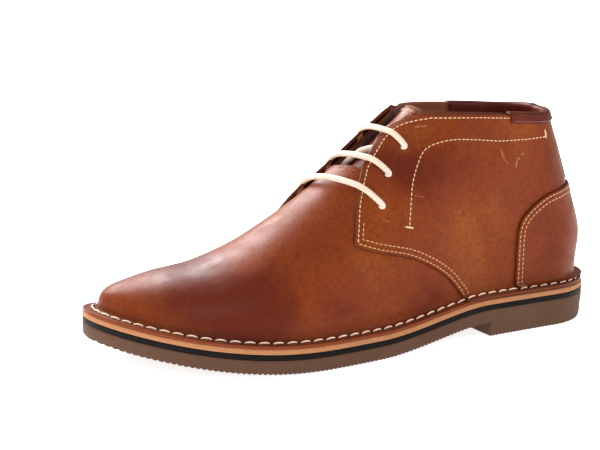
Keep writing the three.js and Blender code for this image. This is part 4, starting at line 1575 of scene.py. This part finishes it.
class BOOT_OT_sole(bpy.types.Operator):
    """Makes the outsole with its fine tread, the rand and the midsole"""

    bl_idname = "boot.make_sole"
    bl_label = "Make sole"

    def execute(self, context):
        form, colours = current(context)
        rand_base = form.outsole_thick + LAYER_GAP
        midsole_base = rand_base + form.rand_thick + LAYER_GAP

        def heel(s):
            return ramp(s - form.heel_length, *HEEL_BREAST)

        def under(s):
            return form.sheet(s) * (1 - heel(s)) + ribbed(s)

        ribs = np.arange(1, form.sole_length, TREAD_PITCH / TREAD_STEPS)
        rib_phi = np.arccos(1 - 2 * ribs / form.sole_length)
        stations = np.union1d(rib_phi, np.linspace(0, math.pi, SOLE_STATIONS + 1))
        outsole = sole_layer(
            "outsole_rubber", form, under, lambda s: form.sheet(s) + form.outsole_thick,
            RUBBER_RIM, 0.0, stations, lambda s: HEEL_TAPER * heel(s),
        )
        rubber = moulded_rubber("sole rubber", tuple(colours.rubber), shade(0x644A3B))
        dress(outsole, rubber, ["outsole"])
        rand = sole_layer(
            "dark_rand", form, lambda s: form.sheet(s) + rand_base - LAYER_BITE,
            lambda s: form.sheet(s) + midsole_base - 0.05, LAYER_RIM, 0.15,
        )
        dark = moulded_rubber("dark rubber", tuple(colours.rand), shade(0x130D0D), 0.55)
        dress(rand, dark, ["rand"])
        midsole = sole_layer(
            "tan_midsole", form, lambda s: form.sheet(s) + midsole_base - LAYER_BITE,
            lambda s: form.seat(s) - 0.02, LAYER_RIM, 0.1,
        )
        dress(midsole, board("cut board", tuple(colours.midsole)), ["midsole"])
        return {"FINISHED"}


SOCK_CLEAR = 0.6
SOCK_STEPS = (0, 0.4, 1.2, 5, 14, 24)
SOCK_ROUND = 1.2
SOCK_ROUND_FADE = 0.5
SOCK_RIM = 5
SOCK_RIM_UP = 0.4
SOCK_NARROWEST = 0.95
SOCK_OVER_FLOOR = 0.1


class BOOT_OT_insole(bpy.types.Operator):
    """Makes the sock on the inside floor"""

    bl_idname = "boot.make_insole"
    bl_label = "Make insole"

    def execute(self, context):
        form, colours = current(context)
        phis = np.linspace(0, math.pi, 181)
        inset = form.flange_width + form.wall + SOCK_CLEAR
        rows = []
        for phi in phis:
            row = []
            half = form.fullness((1 - math.cos(phi)) / 2) * math.sin(phi) - inset
            for side in (1, -1):
                for step in SOCK_STEPS[::side]:
                    x, s = form.edge(phi, side, inset + min(step, max(half, 0) * SOCK_NARROWEST))
                    round_off = SOCK_ROUND * math.exp(-step / SOCK_ROUND_FADE)
                    top = form.seat(s) + form.insole_thick - round_off
                    row.append((x, s, top + SOCK_RIM_UP * (step < SOCK_RIM)))
            for side in (-1, 1):
                x, s = form.edge(phi, side, inset)
                row.append((x, s, form.seat(s) + SOCK_OVER_FLOOR))
            rows.append(row)
        sock = loft("sock", form, rows)
        dress(sock, suede("sock leather", shade(0xA8703F), shade(0x7A4A26)), ["insole"])
        return {"FINISHED"}


# How far the rows lie in from the edges, and what they leave clear.
TOP_ROW = 2.2
DOUBLE_ROW = (1.8, 4.7)
COUNTER_ROW = (1.8, 4.6)
BACK_ROW = (1.7, 4.0)
THROAT_ROW = 2.0
TONGUE_ROW = 2.2
TONGUE_ROW_LOWEST = 0.9
BINDING_ROW = (0.78, 0.9)
BINDING_PITCH = 2.3
BINDING_FACE = 1.26
BINDING_CLEAR = 1.5
FLANGE_CLEAR = 1.2
COUNTER_CLEAR = 1.5
CORNER_CLEAR = 1.0
CORNER_REACH = 12.0
# Size and arch of the stitches.
TOP_STITCH = (0.66, 0.3)
QUARTER_STITCH = (0.72, 0.24)
COUNTER_STITCH = (0.78, 0.24)
THROAT_STITCH = (0.6, 0.2)
TONGUE_STITCH = (0.65, 0.2)
BINDING_STITCH = (0.55, 0.15)
TACK_STITCH = (1.25, 0.5)
TACK_PITCH = 30.0


class BOOT_OT_seams(bpy.types.Operator):
    """Sews the panels: light top rows, tan double rows, bar tacks and dark binding rows"""

    bl_idname = "boot.make_seams"
    bl_label = "Make seams"

    def execute(self, context):
        form, colours = current(context)
        pitch = form.stitch_pitch
        quarter, counter, back = quarter_hide(form), counter_hide(form), backstay_hide(form)
        corner = QUARTER_SEAM[0][1] * form.back_height
        outer_end, inner_end = form.binding_end(1) + BINDING_CLEAR, form.binding_end(-1) + BINDING_CLEAR

        def edge(point):
            return np.minimum(form.under_top(point), form.behind_facing(point))

        def seam(point):
            return np.minimum(form.behind_seam(point), form.behind_facing(point))

        trim = form.line(QUARTER_TRIM, 80)

        def inside_trim(point):
            outline = [*trim, (-FAR, trim[-1][1]), (-FAR, -FAR), (trim[0][0], -FAR)]
            return side_of(form.side_view(point), outline)

        def ahead_of_binding(point):
            end = np.where(point[..., 0] > form.middle, outer_end, inner_end)
            return (point[..., 1] > end) & (point[..., 2] > corner + CORNER_CLEAR)

        top = quarter.rows(edge, TOP_ROW, ahead_of_binding)
        top += quarter.rows(
            inside_trim, 0.0, lambda p: (p[..., 2] > trim[0][1]) & (p[..., 1] > trim[-1][0])
        )
        light = thread("light thread", tuple(colours.thread_light))
        light_rows = stitch_mesh("top_stitches", form, top, pitch, *TOP_STITCH, 0.1)
        dress(light_rows, light)

        def near_row(point):
            inner_up = INNER_UP * form.inner(point)
            below = point[..., 2] < corner + CORNER_CLEAR + inner_up
            return (form.over_flange(point) > FLANGE_CLEAR) & below

        def far_row(point):
            below = point[..., 2] < corner + CORNER_REACH
            return (form.over_flange(point) > FLANGE_CLEAR) & below

        def over_foot(point):
            return form.over_flange(point) > COUNTER_CLEAR

        double = quarter.rows(seam, DOUBLE_ROW[0], near_row)
        double += quarter.rows(seam, DOUBLE_ROW[1], far_row)
        low = counter.rows(form.in_counter, COUNTER_ROW[0], over_foot)
        low += counter.rows(form.in_counter, COUNTER_ROW[1], over_foot)

        def strip(point):
            return form.backstay_half - np.abs(point[..., 0] - form.middle)

        low += back.rows(strip, BACK_ROW[0]) + back.rows(strip, BACK_ROW[1])
        tan = thread("tan thread", tuple(colours.thread_tan))
        sewn = stitch_mesh("quarter_seam", form, double, pitch, *QUARTER_STITCH, 0.08)
        dress(sewn, tan)
        sewn = stitch_mesh("counter_seam", form, low, pitch, *COUNTER_STITCH)
        dress(sewn, tan)

        outline = form.line(TONGUE_EDGE, TONGUE_KNOTS)

        def in_tongue(point):
            return side_of(form.side_view(point), outline)

        def at_top(point):
            return point[..., 2] > TONGUE_ROW_LOWEST * form.back_height

        end = vamp_hide(form).rows(form.off_throat, THROAT_ROW, lambda p: form.in_quarter(p) < -1)
        rim = tongue_hide(form).rows(in_tongue, TONGUE_ROW, at_top)
        dark = thread("dark thread", tuple(colours.thread_dark))
        dress(stitch_mesh("throat_seam", form, end, pitch, *THROAT_STITCH), dark)
        dress(stitch_mesh("tongue_seam", form, rim, pitch, *TONGUE_STITCH), light)

        outer, inner = BINDING_ROW
        face = form.overlay_face + BINDING_FACE
        binding = [
            binding_line(form, outer * form.binding_outside, face, 1),
            binding_line(form, inner * form.binding_inside, -1.5, -1),
        ]
        sewn = stitch_mesh("binding_seam", form, binding, BINDING_PITCH, *BINDING_STITCH)
        dress(sewn, dark)

        tacks = self.tack(quarter, trim[0], (1.0, 0.25), 6.0)
        tacks += self.tack(quarter, trim[-1] + (0, 1.5), (0.1, 1), 7)
        sewn = stitch_mesh("bar_tacks", form, tacks, TACK_PITCH, *TACK_STITCH, 0, 0.2)
        dress(sewn, light)
        return {"FINISHED"}

    def tack(self, hide, spot, heading, size):
        """A short bar of thread on both sides of the boot, as the ends of one stitch."""
        form = hide.form
        heading = np.array(heading) / np.linalg.norm(heading)
        bars = []
        for side in (1, -1):
            ends = []
            for step in (-0.5, 0.0, 0.5):
                s, z = spot + heading * size * step
                place = form.locate(s / form.sole_length, z / form.back_height, side, hide.top)
                ends.append(place)
            params = np.array(ends)
            bars.append((hide.at(params), hide.normals(params)))
        return bars


FLANGE_ROW_POINTS = 700
# The row's place across the flange, and how far it moves out and up round the pieces over it.
FLANGE_ROW = 1.014
QUARTER_ASIDE = 0.014
COUNTER_ASIDE = 0.03
QUARTER_NEAR = 2.5
COUNTER_NEAR = 3.0
FLANGE_ROW_UP = 0.2
FLANGE_ROW_LEAN = 0.35
FLANGE_THREAD = (1.05, 0.8, 0.08, 0.9)
NEEDLE_HOLE_SHADE = (1.3, 0.6, -0.02, 0, 0.8)


class BOOT_OT_flange_stitch(bpy.types.Operator):
    """Sews the upper down: thick arched stitches with a small dark mark of painted shade at each end
    for the needle hole
    """

    bl_idname = "boot.make_flange_stitch"
    bl_label = "Make flange stitches"

    def execute(self, context):
        form, colours = current(context)
        half = np.linspace(0.0, math.pi, FLANGE_ROW_POINTS)
        phi = np.concatenate([half, half[::-1][1:]])
        side = np.where(np.arange(len(phi)) < FLANGE_ROW_POINTS, 1.0, -1.0)
        foot = form.surface(phi, side, form.wall)
        quarter = ramp(form.in_quarter(foot), -QUARTER_NEAR, QUARTER_NEAR)
        counter = ramp(form.in_counter(foot), -COUNTER_NEAR, COUNTER_NEAR)
        q = side * (FLANGE_ROW + QUARTER_ASIDE * quarter + COUNTER_ASIDE * counter)
        level = form.wall + FLANGE_ROW_UP + form.quarter_step * quarter
        params = np.stack([phi, q], -1)
        hide = vamp_hide(form)
        points = form.surface(phi, q, level)
        upwards = form.surface(phi, q, level + 1.0) - points
        upwards += FLANGE_ROW_LEAN * hide.normals(params)
        upwards /= np.linalg.norm(upwards, axis=1)[:, None]
        run = [(points, upwards)]
        pitch = form.welt_pitch
        cream = thread("flange thread", tuple(colours.thread_welt))
        sewn = stitch_mesh("flange_stitches", form, run, pitch, *FLANGE_THREAD)
        dress(sewn, cream)
        middle, along, up = evened(points, upwards, pitch)
        # A dark mark of painted shade sits between each two stitches, where the needle hole is.
        shift = middle + along * pitch / 2
        holes = []
        for spot, direction, normal in zip(shift, along, up):
            holes.append((np.array([spot - direction, spot, spot + direction]), np.array([normal] * 3)))
        shade_pits = stitch_mesh("needle_hole_shade", form, holes, *NEEDLE_HOLE_SHADE)
        dress(shade_pits, hole_shade("needle hole shade"))
        return {"FINISHED"}


class BOOT_OT_lace(bpy.types.Operator):
    """Threads the waxed cord through the eyelets"""

    bl_idname = "boot.make_lace"
    bl_label = "Make lace"

    def execute(self, context):
        form, colours = current(context)
        obj = cord("waxed_lace", form, lace_path(form), LACE_FULLER * form.lace_diameter / 2)
        dress(obj, waxed_cord("waxed cord", tuple(colours.lace)), ["lace"])
        return {"FINISHED"}


# The stage in metres and degrees. The lens was fitted in pixels of a picture 600 wide.
FLOOR_HALF = 60.0
FLOOR_GLOW = 0.82
WORLD_GLOW = 0.55
TARGET = (0.0, 0.0, 0.06)
CAMERA_TURN = 63.0
CAMERA_RISE = 11.0
CAMERA_AWAY = 0.715
CAMERA_CLIP = (0.05, 100)
PICTURE_WIDE = 600
SENSOR_WIDE = 36
FOCAL = 1268 / PICTURE_WIDE * SENSOR_WIDE
SHIFT = (-55.5 / PICTURE_WIDE, 8.1 / PICTURE_WIDE)
# Softboxes: name, place, width, depth and power.
LIGHTS = [
    ("crest light", (-1.05, -0.35, 0.95), 1.2, 0.6, 52),
    ("side light", (1.3, -1.1, 1.3), 1.0, 1.0, 14),
    ("heel light", (0.8, 1.4, 0.7), 0.8, 0.8, 7),
]


class BOOT_OT_stage(bpy.types.Operator):
    """Makes the pale floor, the softboxes and the camera"""

    bl_idname = "boot.make_stage"
    bl_label = "Make stage"

    def execute(self, context):
        scene = context.scene
        around = ((-1, -1), (1, -1), (1, 1), (-1, 1))
        corners = [(x * FLOOR_HALF, y * FLOOR_HALF, 0) for x, y in around]
        floor = mesh_object("floor", corners, [(0, 1, 2, 3)], smooth=False)
        paper = Shader("floor paper", 0.85, Specular_IOR_Level=0.1, Emission_Strength=FLOOR_GLOW)
        paper.body.inputs["Emission Color"].default_value = (1, 1, 1, 1)
        cloud = paper.noise(3, 2)
        tint = paper.mix(cloud, shade(0xF4F4F4), shade(0xF0F0F0))
        floor.data.materials.append(paper.finish(tint))
        for name, place, width, depth, power in LIGHTS:
            light = bpy.data.lights.new(name, "AREA")
            light.shape, light.size, light.size_y, light.energy = "RECTANGLE", width, depth, power
            lamp = bpy.data.objects.new(name, light)
            lamp.location = place
            aim = Vector(TARGET) - Vector(place)
            lamp.rotation_euler = aim.to_track_quat("-Z", "Y").to_euler()
            scene.collection.objects.link(lamp)
        world = bpy.data.worlds.new("studio")
        world.use_nodes = True
        sky = world.node_tree.nodes["Background"].inputs
        sky["Color"].default_value = (1, 1, 1, 1)
        sky["Strength"].default_value = WORLD_GLOW
        scene.world = world
        scene.view_settings.view_transform = "Standard"
        camera = bpy.data.cameras.new("camera")
        camera.lens, camera.sensor_width = FOCAL, SENSOR_WIDE
        camera.shift_x, camera.shift_y = SHIFT
        camera.clip_start, camera.clip_end = CAMERA_CLIP
        view = bpy.data.objects.new("camera", camera)
        turn, rise = math.radians(CAMERA_TURN), math.radians(CAMERA_RISE)
        back = Vector(
            (math.sin(turn) * math.cos(rise), -math.cos(turn) * math.cos(rise), math.sin(rise))
        )
        view.location = Vector(TARGET) + back * CAMERA_AWAY
        view.rotation_euler = (-back).to_track_quat("-Z", "Y").to_euler()
        scene.collection.objects.link(view)
        scene.camera = view
        return {"FINISHED"}


class BOOT_PT_panel(bpy.types.Panel):
    """Lists the boot's sizes, colours and steps"""

    bl_label = "Chukka Boot"
    bl_idname = "BOOT_PT_panel"
    bl_space_type = "VIEW_3D"
    bl_region_type = "UI"
    bl_category = "Boot"

    def draw(self, context):
        layout = self.layout
        for group in (context.scene.boot_sizes, context.scene.boot_colours):
            box = layout.box()
            for name in type(group).__annotations__:
                box.prop(group, name)
        for operator in OPERATORS:
            layout.operator(operator.bl_idname)


OPERATORS = (
    BOOT_OT_upper,
    BOOT_OT_heel,
    BOOT_OT_binding,
    BOOT_OT_tongue,
    BOOT_OT_sole,
    BOOT_OT_insole,
    BOOT_OT_seams,
    BOOT_OT_flange_stitch,
    BOOT_OT_lace,
    BOOT_OT_stage,
)
CLASSES = (BootSizes, BootColours, *OPERATORS, BOOT_PT_panel)


def register():
    for item in CLASSES:
        bpy.utils.register_class(item)
    bpy.types.Scene.boot_sizes = bpy.props.PointerProperty(type=BootSizes)
    bpy.types.Scene.boot_colours = bpy.props.PointerProperty(type=BootColours)


def unregister():
    del bpy.types.Scene.boot_colours
    del bpy.types.Scene.boot_sizes
    for item in reversed(CLASSES):
        bpy.utils.unregister_class(item)


def main():
    register()
    bpy.ops.boot.make_upper()
    bpy.ops.boot.make_heel()
    bpy.ops.boot.make_binding()
    bpy.ops.boot.make_tongue()
    bpy.ops.boot.make_sole()
    bpy.ops.boot.make_insole()
    bpy.ops.boot.make_seams()
    bpy.ops.boot.make_flange_stitch()
    bpy.ops.boot.make_lace()
    bpy.ops.boot.make_stage()
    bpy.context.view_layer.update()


if __name__ == "__main__":
    main()
